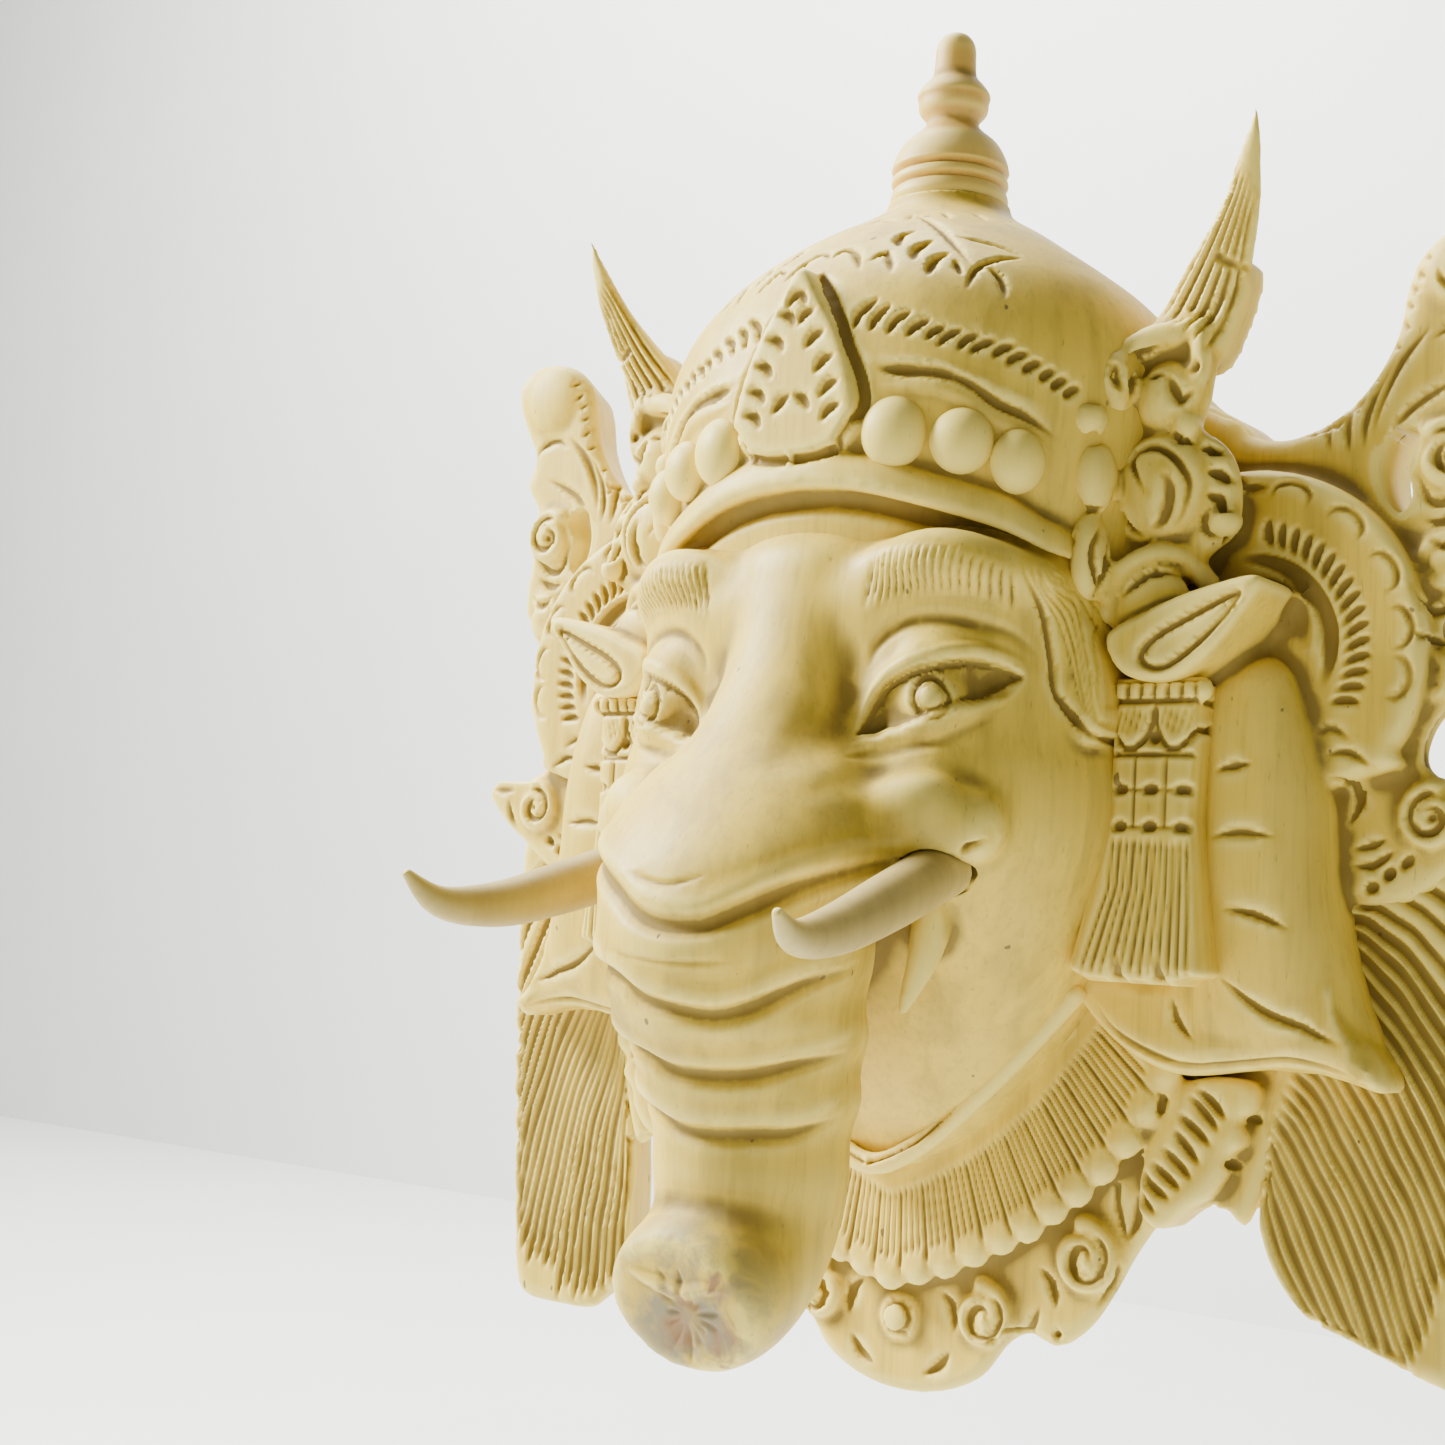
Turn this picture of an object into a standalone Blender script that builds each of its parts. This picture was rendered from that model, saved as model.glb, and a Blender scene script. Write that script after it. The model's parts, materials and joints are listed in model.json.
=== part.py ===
"""Carved wooden wall mask of an elephant head with a crown, ear wings, a pleated collar and a mane.

The mask hangs on a wall: its back is flat, its face looks along -Y and +Z is up. The origin is on the flat
back, just under the hole that it hangs by. Lengths are in metres. The carving itself is drawn in carver's
units, 400 of them to the height of the mask: x to the right, p out from the wall, and z above the chin.
"""

import math

import bmesh
import bpy
from mathutils import Matrix, Vector

# Sizes of the carved block.
MASK_HEIGHT = 0.400
UNIT = MASK_HEIGHT / 400
VOXEL = 0.0017
BODY_FACES = 7800
SCROLL_WIDTH = 0.27

# The back: the rim is flat and the middle is hollowed.
ORIGIN_ABOVE_CHIN = 246 * UNIT
RIM_WIDTH = 0.036
FACE_WALL = 0.048
HOLLOW_HALF_WIDTH = 92 * UNIT - RIM_WIDTH
HOLLOW_DEPTH = 100 * UNIT - FACE_WALL
HOLLOW_BOTTOM_ABOVE_CHIN = 42 * UNIT
HOLLOW_TOP_BELOW_ORIGIN = 0.014
HOLLOW_ROUNDING = 0.016
BACK_WASTE = 0.3 * MASK_HEIGHT
HANG_HOLE_RADIUS = 0.004
HANG_HOLE_DEPTH = 0.020
HANG_HOLE_SLOPE = math.radians(35)
HANG_HOLE_ABOVE_ORIGIN = 0.013

# The turned finial on the crown.
FINIAL_HEIGHT = 0.0545
FINIAL_RADIUS = 0.0176
FINIAL_OUT = 33 * UNIT
FINIAL_SEAT_ABOVE_CHIN = 286.5 * UNIT
FINIAL_SEAT_LEDGE = 0.006
FINIAL_SEAT_CUT = 0.030

# The two tusks, each let into a round socket in the cheek.
TUSK_ROOT_RADIUS = 0.0074
TUSK_SOCKET_DEPTH = 0.012
TUSK_LENGTH = 0.078
TUSK_TIP_LIFT_LEFT = 0.05
TUSK_TIP_LIFT_RIGHT = -0.03
FIT_GAP = 0.0004

WOOD = {"colour": (0.86, 0.74, 0.50, 1), "roughness": 0.55}
FINIAL_WOOD = {"colour": (0.84, 0.64, 0.30, 1), "roughness": 0.45}
TUSK_WOOD = {"colour": (0.62, 0.50, 0.24, 1), "roughness": 0.42}


def at(x, p, z):
    """A point in carver's units as a place in the mask's own frame."""
    return Vector((x * UNIT, -p * UNIT, z * UNIT - ORIGIN_ABOVE_CHIN))


def new_object(name, mesh):
    thing = bpy.data.objects.new(name, mesh)
    bpy.context.scene.collection.objects.link(thing)
    return thing


def finish_mesh(bm, name):
    bmesh.ops.recalc_face_normals(bm, faces=bm.faces)
    mesh = bpy.data.meshes.new(name)
    bm.to_mesh(mesh)
    bm.free()
    return mesh


def material(name, finish):
    made = bpy.data.materials.new(name)
    made.use_nodes = True
    shader = made.node_tree.nodes["Principled BSDF"]
    shader.inputs["Base Color"].default_value = finish["colour"]
    shader.inputs["Roughness"].default_value = finish["roughness"]
    shader.inputs["Metallic"].default_value = 0
    return made


def through(points, steps=4, closed=False):
    """A smooth line through points of any size, as a list of tuples, by Catmull-Rom spans."""
    count = len(points)
    spans = count if closed else count - 1
    line = []
    for i in range(spans):
        if closed:
            a, b, c, d = (points[(i + k) % count] for k in (-1, 0, 1, 2))
        else:
            a, b, c, d = (points[min(max(i + k, 0), count - 1)] for k in (-1, 0, 1, 2))
        for s in range(steps):
            t = s / steps
            spot = []
            for u, v, w, x in zip(a, b, c, d):
                bend = (w - u) * t + (2 * u - 5 * v + 4 * w - x) * t * t + (3 * v - u - 3 * w + x) * t**3
                spot.append(0.5 * (2 * v + bend))
            line.append(tuple(spot))
    if not closed:
        line.append(tuple(points[-1]))
    return line


def mirrored(points):
    return [(-q[0], *q[1:]) for q in points]


def join_rings(bm, rings):
    """Walls between rings of as many points each, and a face at both ends."""
    count = len(rings[0])
    for one, two in zip(rings, rings[1:]):
        for k in range(count):
            bm.faces.new((one[k], one[(k + 1) % count], two[(k + 1) % count], two[k]))
    bm.faces.new(rings[0])
    bm.faces.new(list(reversed(rings[-1])))


class Block:
    """The forms that the carver leaves standing, gathered into one mesh. Forms sink into each other."""

    def __init__(self):
        self.bm = bmesh.new()

    def take(self, thing):
        """Adds an object's evaluated mesh in place, and removes the object."""
        bpy.context.view_layer.update()
        graph = bpy.context.evaluated_depsgraph_get()
        mesh = bpy.data.meshes.new_from_object(thing.evaluated_get(graph))
        mesh.transform(thing.matrix_world)
        self.bm.from_mesh(mesh)
        bpy.data.meshes.remove(mesh)
        bpy.data.objects.remove(thing)

    def ball(self, centre, radii, lean=0.0, turn=0.0):
        """An ellipsoid of radii across, out and up. Lean tips its top outwards, turn rolls it."""
        bm = bmesh.new()
        bmesh.ops.create_uvsphere(bm, u_segments=28, v_segments=18, radius=1)
        size = Matrix.Diagonal((radii[0] * UNIT, radii[1] * UNIT, radii[2] * UNIT, 1))
        pose = Matrix.Rotation(lean, 4, "X") @ Matrix.Rotation(-turn, 4, "Y")
        bm.transform(Matrix.Translation(at(*centre)) @ pose @ size)
        self.take(new_object("ball", finish_mesh(bm, "ball")))

    def plate(self, outline, back, front, edge=3.0, undercut=0.0, smooth=True):
        """A board with the given outline in the front view. Its front edge is rounded, and its back can be
        cut under, so that it is smaller than the front."""
        line = [Vector(q) for q in (through(outline, 3, closed=True) if smooth else outline)]
        count = len(line)
        turn = sum(line[i - 1].cross(line[i]) for i in range(count))
        inward = []
        for i in range(count):
            along = (line[(i + 1) % count] - line[i - 1]).normalized()
            inward.append(Vector((-along.y, along.x)) * (1 if turn > 0 else -1))
        bm = bmesh.new()
        rings = []
        steps = ((back, undercut), (front - edge, 0), (front - 0.3 * edge, 0.3 * edge), (front, edge))
        for p, inset in steps:
            ring = [q + n * inset for q, n in zip(line, inward)]
            rings.append([bm.verts.new(at(q.x, p, q.y)) for q in ring])
        join_rings(bm, rings)
        self.take(new_object("plate", finish_mesh(bm, "plate")))

    def tube(self, points, radii, roundness=2):
        """A round bar through points, each with its own radius."""
        curve = bpy.data.curves.new("tube", "CURVE")
        curve.dimensions = "3D"
        curve.bevel_depth = UNIT
        curve.bevel_resolution = roundness
        curve.use_fill_caps = True
        line = through([(*q, r) for q, r in zip(points, radii)], 4)
        spline = curve.splines.new("POLY")
        spline.points.add(len(line) - 1)
        for point, (x, p, z, r) in zip(spline.points, line):
            point.co = (*at(x, p, z), 1)
            point.radius = r
        self.take(new_object("tube", curve))

    def loft(self, sections, squareness=2.0, sides=32):
        """Rings (x, p, z, across, out, tilt) joined from one end to the other. Squareness 2 is an oval."""
        bm = bmesh.new()
        rings = []
        for x, p, z, across, out, tilt in through(sections, 3):
            ring = []
            for k in range(sides):
                a = 2 * math.pi * k / sides
                u, v = (math.copysign(abs(w) ** (2 / squareness), w) for w in (math.cos(a), math.sin(a)))
                spot = at(x + across * u, p + out * v * math.cos(tilt), z + out * v * math.sin(tilt))
                ring.append(bm.verts.new(spot))
            rings.append(ring)
        join_rings(bm, rings)
        self.take(new_object("loft", finish_mesh(bm, "loft")))

    def volute(self, centre, radius, p, start=0, turns=1.4, hand=1):
        """A raised spiral scroll that winds in from its outside, with a boss at its eye."""
        count = 12
        points, radii = [], []
        for k in range(count + 1):
            t = k / count
            a = math.radians(start + hand * t * turns * 360)
            r = radius * (1 - SCROLL_WIDTH) * (1 - 0.8 * t)
            points.append((centre[0] + r * math.cos(a), p + 2 * t, centre[1] + r * math.sin(a)))
            radii.append(radius * SCROLL_WIDTH * (1 - 0.4 * t))
        self.tube(points, radii)
        self.ball((centre[0], p - 2, centre[1]), (radius * 0.8, 4, radius * 0.8))


HEAD = [
    (0, 30, 6, 10, 14, 0), (0, 30, 18, 30, 24, 0), (0, 30, 34, 46, 36, 0), (0, 30, 50, 59, 47, 0),
    (0, 30, 64, 67, 57, 0), (0, 30, 80, 74, 70, 0), (0, 30, 96, 79, 79, 0), (0, 30, 110, 80, 80, 0),
    (0, 30, 124, 78, 76, 0), (0, 30, 140, 77, 73, 0), (0, 30, 158, 76, 75, 0), (0, 30, 172, 73, 71, 0),
    (0, 30, 190, 72, 62, 0),
]  # fmt: skip
TRUNK = [
    (0, 80, 186, 30, 24, 0), (0, 82, 165, 30, 24, 0), (0, 88, 142, 24, 24, 0), (0, 97, 122, 26, 27, 0),
    (0, 106, 104, 40, 31, 0), (0, 113, 88, 44, 34, 0), (0, 117, 75, 38, 34, 0), (0, 117, 62, 37, 35, 0),
    (0, 115, 52, 33.5, 33, 0), (0, 112, 43, 33.5, 33, 0), (0, 109, 35, 29.5, 29.5, 0),
    (0, 107, 26, 29.5, 29, 0), (0, 105.5, 18, 26, 26, 0), (0, 105, 6, 26, 25.5, 0),
    (0, 105.5, -5, 24.5, 24, 0.2),
    (0, 110, -13, 24.5, 22.5, 0.6), (0, 117, -19, 25, 21.5, 0.9), (0, 125, -23, 25, 20.5, 1.1),
    (0, 132, -26, 22.5, 18, 1.2),
]  # fmt: skip
CHEEK_PANEL = [(56, 174), (67, 165), (75, 148), (79, 128), (74, 121), (66, 133), (59, 150)]
HEAD_VOXEL = 0.0024
HEAD_SOFTENING = 6


def head(block):
    """The face and the trunk, flowing into each other, with brows, lids, lip folds and fangs."""
    soft = Block()
    soft.loft(HEAD, 2.9)
    soft.loft(TRUNK)
    for side in (-1, 1):
        soft.tube([(side * x, p, z) for x, p, z in ((24, 100, 163), (44, 96, 168), (64, 80, 163))], [8, 9, 8])
        soft.tube([(side * x, p, z) for x, p, z in ((28, 98, 128), (44, 97, 141), (62, 82, 138))], [6, 7, 6])
        soft.tube([(side * x, p, z) for x, p, z in ((30, 96, 118), (46, 95, 121), (62, 80, 131))], [7, 8, 6])
        soft.ball((side * 44, 92, 130), (13, 14, 9))
        soft.tube([(side * x, p, z) for x, p, z in ((24, 108, 94), (40, 104, 98), (56, 96, 98))], [14, 12, 9])
    smooth = skin(new_object("head", finish_mesh(soft.bm, "head")), HEAD_VOXEL, HEAD_SOFTENING)
    block.take(smooth)
    for side in (-1, 1):
        block.plate([(side * x, z) for x, z in CHEEK_PANEL], 40, 74, 4)
        block.tube([(side * 43, 88, 84), (side * 41, 90, 66), (side * 36, 93, 49)], [6, 4.6, 1.2])


def skin(thing, voxel, softening):
    """Gives an object the modifiers that melt its forms into one skin and soften it."""
    melt = thing.modifiers.new("one_skin", "REMESH")
    melt.mode = "VOXEL"
    melt.voxel_size = voxel
    soften = thing.modifiers.new("soften", "SMOOTH")
    soften.factor = 0.5
    soften.iterations = softening
    return thing


DOME = [
    (0, 37, 160, 76, 60, 0), (0, 37, 185, 82, 64, 0), (0, 38, 212, 84, 66, 0), (0, 40, 228, 82, 63, 0),
    (0, 42, 239, 76, 59, 0), (0, 44, 248, 68, 53, 0), (0, 45, 256, 58, 46, 0), (0, 45, 264, 47, 37, 0),
    (0, 42, 271, 37, 30, 0), (0, 37, 278, 26, 23, 0), (0, 33, 284, 19, 19, 0), (0, 33, 290, 18, 18, 0),
]  # fmt: skip
BRIM = [(76, 40, 166), (66, 68, 173), (40, 92, 186), (0, 100, 192)]
LEAF = [(0, 249), (8, 238), (15, 226), (20, 210), (19, 202), (12, 197), (0, 195)]
BEADS = [(33, 99, 201, 9.2), (51, 89, 198, 8.6), (64, 76, 193, 8.0)]


def crown(block):
    """The domed crown with its brim, leaf and beads, and the ridge over the beads."""
    block.loft(DOME)
    brim = [(-x, p, z) for x, p, z in BRIM] + BRIM[-2::-1]
    block.tube(brim, [6, 7, 7.5, 7.5, 7.5, 7, 6])
    ridge = [(20, 99, 222), (40, 93, 217), (62, 77, 208), (79, 48, 198)]
    for side in (-1, 1):
        block.tube([(side * x, p, z) for x, p, z in ridge], [3, 4, 4, 3])
        for x, p, z, r in BEADS:
            block.ball((side * x, p - 1, z), (r, 8, r))
    block.plate(LEAF + mirrored(LEAF[-2:0:-1]), 80, 106, 3)


CORE = [
    (0, 266), (30, 262), (56, 248), (74, 226), (92, 214), (108, 190), (112, 150), (110, 110), (104, 70),
    (92, 36), (72, 6), (48, -14), (24, -32), (0, -38),
]  # fmt: skip
WING = [
    (60, 216), (90, 215), (98, 209), (108, 207), (117, 209), (126, 214), (133, 222), (138, 232), (140, 243),
    (144, 252), (153, 258), (166, 259), (174, 253), (174, 245), (170, 236), (165, 226), (168, 217),
    (162, 207), (163, 201), (158, 196), (164, 185), (164, 176), (158, 164), (152, 153), (158, 147),
    (157, 138), (150, 128), (149, 119), (158, 115), (172, 115), (176, 110), (168, 101), (158, 94), (150, 88),
    (140, 84), (110, 84), (60, 84),
]  # fmt: skip
PIERCED = [(137, 204), (142, 207), (146, 203), (143, 196), (144, 188), (141, 184), (137, 188), (135, 196)]
FAN = {"centre": (102, 148), "radius": 49, "from": 105, "to": -40}
EAR = [
    (94, 138), (98, 146), (106, 149), (114, 146), (119, 137), (124, 122), (127, 105), (128, 88), (130, 70),
    (135, 56), (143, 45), (144, 38), (134, 40), (120, 42), (105, 40), (90, 38), (76, 42), (64, 51), (57, 62),
    (70, 66), (88, 66), (92, 100),
]  # fmt: skip
TASSEL = [(77, 138), (101, 138), (100, 104), (104, 64), (96, 61), (72, 61), (66, 64), (76, 104)]
BOW = [(77, 150), (88, 157), (102, 163), (117, 162), (112, 152), (104, 142), (94, 137), (82, 140)]
CLUSTER_TOP = [
    (64, 200), (66, 216), (70, 232), (82, 236), (94, 235), (99, 228), (98, 214), (94, 205), (82, 199),
    (72, 198),
]  # fmt: skip
CLUSTER_LOW = [
    (62, 172), (66, 184), (64, 200), (68, 208), (82, 208), (94, 206), (103, 200), (107, 190), (106, 178),
    (99, 172), (92, 164), (76, 158), (66, 160),
]  # fmt: skip
FEATHER_LINE = [(82, 46, 224), (92, 52, 240), (101, 58, 256), (109, 63, 271), (114, 66, 284)]
FEATHER_ROOT = [(76, 226), (96, 222), (104, 234), (107, 248), (100, 251), (88, 246)]


def wing(block, side):
    """One wing of the head dress: scrolls, ear fan, ear, hanging tassel and crown feather."""

    def put(points):
        return [(side * q[0], *q[1:]) for q in points]

    block.plate(put(WING), 11, 33, 4, 7)
    arc = [math.radians(d) for d in range(FAN["from"], FAN["to"], -12)]
    middle, radius = FAN["centre"], FAN["radius"]
    fan = [(middle[0] + radius * math.cos(a), middle[1] + radius * math.sin(a)) for a in arc]
    block.plate(put([*fan, (96, 110), (84, 150)]), 22, 42, 5)
    block.plate(put(EAR), 26, 50, 7)
    block.tube(put([(106, 40, 138), (108, 42, 115), (110, 42, 90), (108, 42, 66)]), [12, 15, 15, 13])
    block.plate(put(TASSEL), 30, 63, 4, smooth=False)
    block.plate(put(BOW), 44, 69, 4)
    block.plate(put(CLUSTER_TOP), 42, 60, 5, 12)
    block.plate(put(CLUSTER_LOW), 30, 60, 5, 12)
    block.volute((side * 91, 190), 15, 61, start=90, hand=-side)
    block.volute((side * 88, 217), 11, 61, start=150, hand=side)
    block.ball((side * 80, 56, 166), (15, 12, 10))
    for x, z, r, start, hand in OUTER_SCROLLS:
        block.volute((side * x, z), r, 34, start=start if side > 0 else 180 - start, hand=side * hand)
    block.tube(put(FEATHER_LINE), [10, 9, 6.5, 4, 1.2])
    block.plate(put(FEATHER_ROOT), 44, 56, 3)


OUTER_SCROLLS = [
    (157, 246, 12, 200, 1), (153, 197, 11, 120, -1), (153, 170, 9, 60, 1), (149, 141, 8, 60, -1),
    (152, 106, 10, 90, 1),
]  # fmt: skip

MANE_RIGHT = [
    (107, 8), (108, -3), (113, -13), (121, -21), (130, -24), (142, -28), (154, -32), (160, -30), (160, 0),
    (160, 40), (160, 78), (158, 94), (150, 90), (136, 83), (124, 80), (112, 50),
]  # fmt: skip
MANE_LEFT = [
    (106, 6), (104, -20), (104, -43), (111, -46), (117, -53), (132, -54), (146, -53), (151, -46), (153, -30),
    (156, 0), (159, 40), (160, 78), (158, 94), (150, 90), (136, 83), (124, 80), (112, 50),
]  # fmt: skip
LOCKS = 9


def mane(block, side, outline, drop):
    """The combed mane under one ear: a board with locks that run down and outwards."""
    block.plate([(side * x, z) for x, z in outline], 11, 31, 3, 6)
    for k in range(LOCKS):
        t = k / (LOCKS - 1)
        top = (109 + 44 * t, 6 + 84 * min(1, t * 1.7))
        low = (118 + 40 * t, -16 - drop * (1 - 0.5 * t) + 30 * max(0, t - 0.55))
        middle = ((top[0] + low[0]) / 2 + 1, (top[1] + low[1]) / 2 + 5)
        points = [(side * x, 31, z) for x, z in (top, middle, low)]
        block.tube(points, [2.6, 3.4, 2.8], roundness=1)


COLLAR = [
    (0, 6), (18, 15), (34, 27), (50, 43), (60, 55), (70, 57), (82, 42), (80, 28), (66, 10), (46, -6),
    (24, -20), (0, -27),
]  # fmt: skip
ROPE = [(62, 46, 57), (34, 46, 28), (16, 47, 13), (0, 48, 6)]
SKIRT = [
    (0, -59), (14, -57), (26, -51), (34, -41), (41, -37), (50, -39), (59, -33), (66, -23), (72, -12),
    (79, -2), (87, 5), (96, 5), (104, 1), (112, 30), (112, 60), (0, 62),
]  # fmt: skip
PLEATS = 11


def collar(block):
    """The pleated collar, the rope at its neck and the scroll skirt under it."""
    block.plate(CORE + mirrored(CORE[-2:0:-1]), -4, 24, 4)
    block.plate(SKIRT + mirrored(SKIRT[-2:0:-1]), 11, 30, 4, 7)
    block.plate(COLLAR + mirrored(COLLAR[-2:0:-1]), 10, 40, 3)
    rope = ROPE + mirrored(ROPE[-2::-1])
    block.tube(rope, [3] * len(rope))
    inner = through([(0, 2), (34, 22), (63, 52)], PLEATS // 2)
    outer = through([(0, -27), (47, -7), (82, 34)], PLEATS // 2)
    for k, (near, far) in enumerate(zip(inner, outer)):
        for side in (-1, 1) if k else (1,):
            block.tube([(side * near[0], 41, near[1]), (side * far[0], 39, far[1])], [1.8, 4.2], roundness=1)
    for side in (-1, 1):
        block.volute((side * 27, -34), 11, 31, start=90, hand=-side)
        block.volute((side * 58, -14), 12, 31, start=90, hand=-side)
        block.tube([(side * 84, 33, 6), (side * 94, 34, 20), (side * 104, 33, 36)], [6, 8, 6])
    block.ball((0, 30, -38), (6.5, 5, 6.5))


def cutter(name, mesh):
    """A shape that is cut out of the block. It isn't part of the mask."""
    thing = new_object(name, mesh)
    thing.hide_render = True
    thing.display_type = "WIRE"
    return thing


def box_cutter(name, low, high, rounding=0.0):
    bm = bmesh.new()
    bmesh.ops.create_cube(bm, size=1)
    size = Vector(high) - Vector(low)
    middle = (Vector(high) + Vector(low)) / 2
    bm.transform(Matrix.Translation(middle) @ Matrix.Diagonal((*size, 1)))
    if rounding:
        bmesh.ops.bevel(bm, geom=list(bm.edges), offset=rounding, segments=3, affect="EDGES", profile=0.5)
    return cutter(name, finish_mesh(bm, name))


def rod(radius_ends, length, sides=24):
    """A closed round bar along +Z from the origin, as a bmesh."""
    bm = bmesh.new()
    bmesh.ops.create_cone(
        bm, cap_ends=True, segments=sides, radius1=radius_ends[0], radius2=radius_ends[1], depth=length
    )
    bm.transform(Matrix.Translation((0, 0, length / 2)))
    return bm


def back_cutters():
    """What is sawn and hollowed from the back: the wall plane, the hollow and the hanging hole."""
    reach = MASK_HEIGHT
    cutters = [box_cutter("cut_wall_plane", (-reach, 0, -2 * reach), (reach, BACK_WASTE, reach))]
    top = -HOLLOW_TOP_BELOW_ORIGIN
    bottom = HOLLOW_BOTTOM_ABOVE_CHIN - ORIGIN_ABOVE_CHIN
    low = (-HOLLOW_HALF_WIDTH, -HOLLOW_DEPTH, bottom)
    high = (HOLLOW_HALF_WIDTH, 1.25 * HOLLOW_ROUNDING, top)
    cutters.append(box_cutter("cut_hollow", low, high, HOLLOW_ROUNDING))
    bm = rod((HANG_HOLE_RADIUS, HANG_HOLE_RADIUS), 2 * HANG_HOLE_DEPTH, 16)
    into = Matrix.Rotation(math.pi / 2 - HANG_HOLE_SLOPE, 4, "X")
    start = Matrix.Translation((0, 0, -HANG_HOLE_DEPTH))
    bm.transform(Matrix.Translation((0, 0, HANG_HOLE_ABOVE_ORIGIN)) @ into @ start)
    cutters.append(cutter("cut_hang_hole", finish_mesh(bm, "cut_hang_hole")))
    return cutters


def pierced_cutters():
    """The hole that goes through each wing inside its scroll."""
    cutters = []
    for side, name in ((-1, "cut_pierced_left"), (1, "cut_pierced_right")):
        bm = bmesh.new()
        line = through(PIERCED, 2, closed=True)
        rings = [[bm.verts.new(at(side * x, p, z)) for x, z in line] for p in (-10, 70)]
        join_rings(bm, rings)
        cutters.append(cutter(name, finish_mesh(bm, name)))
    return cutters


NOSTRIL = (0, 138, -29)


def nostril_cutter():
    """The hollow in the end of the trunk."""
    bm = bmesh.new()
    bmesh.ops.create_uvsphere(bm, u_segments=20, v_segments=12, radius=1)
    size = Matrix.Diagonal((14 * UNIT, 11 * UNIT, 9 * UNIT, 1))
    bm.transform(Matrix.Translation(at(*NOSTRIL)) @ Matrix.Rotation(math.radians(-25), 4, "X") @ size)
    return cutter("cut_nostril", finish_mesh(bm, "cut_nostril"))


FINIAL_PROFILE = [
    (0.96, 0.000), (1.00, 0.035), (0.96, 0.080), (0.93, 0.095), (0.99, 0.120), (0.97, 0.155), (0.93, 0.170),
    (0.99, 0.195), (0.99, 0.215), (0.94, 0.270), (0.80, 0.350), (0.56, 0.420), (0.45, 0.465), (0.47, 0.500),
    (0.58, 0.545), (0.60, 0.600), (0.62, 0.635), (0.54, 0.680), (0.38, 0.745), (0.35, 0.830), (0.33, 0.920),
    (0.21, 0.980), (0.07, 1.000),
]  # fmt: skip
FINIAL_SIDES = 20


def finial():
    """The turned finial: its profile spun round the axis, standing on its flat foot."""
    bm = bmesh.new()
    seat = Vector((0, -FINIAL_OUT, FINIAL_SEAT_ABOVE_CHIN - ORIGIN_ABOVE_CHIN + FIT_GAP))
    rings = []
    for share, rise in FINIAL_PROFILE:
        ring = []
        for k in range(FINIAL_SIDES):
            a = 2 * math.pi * k / FINIAL_SIDES
            r = share * FINIAL_RADIUS
            ring.append(bm.verts.new(seat + Vector((r * math.cos(a), r * math.sin(a), rise * FINIAL_HEIGHT))))
        rings.append(ring)
    join_rings(bm, rings)
    thing = new_object("finial", finish_mesh(bm, "finial"))
    thing.data.materials.append(material("finial_wood", FINIAL_WOOD))
    return thing


def finial_seat():
    """Cuts the crown flat under the finial."""
    radius = FINIAL_RADIUS + FINIAL_SEAT_LEDGE
    bm = rod((radius, radius), FINIAL_SEAT_CUT)
    seat = FINIAL_SEAT_ABOVE_CHIN - ORIGIN_ABOVE_CHIN
    bm.transform(Matrix.Translation((0, -FINIAL_OUT, seat)))
    return cutter("cut_finial_seat", finish_mesh(bm, "cut_finial_seat"))


TUSK_ROOT = (49, 106, 84)
TUSK_LINE = [(0.02, 0, 0), (0.05, 0.28, -0.09), (0.07, 0.56, -0.17), (0.10, 0.80, -0.19), (0.13, 0.94, -0.11)]
TUSK_TAPER = [1.0, 0.96, 0.82, 0.56, 0.16]
TUSK_SIDES = 14


def tusk_line(side, tip_lift):
    """Points and radii along a tusk, from the bottom of its socket to the tip."""
    root = at(side * TUSK_ROOT[0], TUSK_ROOT[1], TUSK_ROOT[2])
    points = [
        (side * x * TUSK_LENGTH, -out * TUSK_LENGTH, (up + tip_lift * out * out) * TUSK_LENGTH)
        for x, out, up in TUSK_LINE
    ]
    line = through([(*q, r) for q, r in zip(points, TUSK_TAPER)], 3)
    return [(root + Vector(q[:3]), q[3] * TUSK_ROOT_RADIUS) for q in line]


def sweep(line, sides):
    """Round rings square to a line of points and radii, joined into a closed bar."""
    bm = bmesh.new()
    rings = []
    for i, (point, radius) in enumerate(line):
        ahead = line[min(i + 1, len(line) - 1)][0] - line[max(i - 1, 0)][0]
        pose = ahead.to_track_quat("Z", "Y").to_matrix()
        ring = []
        for k in range(sides):
            a = 2 * math.pi * k / sides
            ring.append(bm.verts.new(point + pose @ Vector((radius * math.cos(a), radius * math.sin(a), 0))))
        rings.append(ring)
    join_rings(bm, rings)
    return bm


def tusk(side, name, tip_lift):
    line = tusk_line(side, tip_lift)
    ahead = (line[0][0] - line[1][0]).normalized()
    line = [(line[0][0] + ahead * TUSK_SOCKET_DEPTH, line[0][1]), *line]
    thing = new_object(name, finish_mesh(sweep(line, TUSK_SIDES), name))
    thing.data.materials.append(material(name + "_wood", TUSK_WOOD))
    far = [(line[0][0] + ahead * FIT_GAP, line[0][1] + FIT_GAP)]
    wide = [(point, radius + FIT_GAP) for point, radius in line[1:]]
    hole = cutter("cut_socket_" + name, finish_mesh(sweep(far + wide, TUSK_SIDES), "cut_socket_" + name))
    return thing, hole


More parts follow.
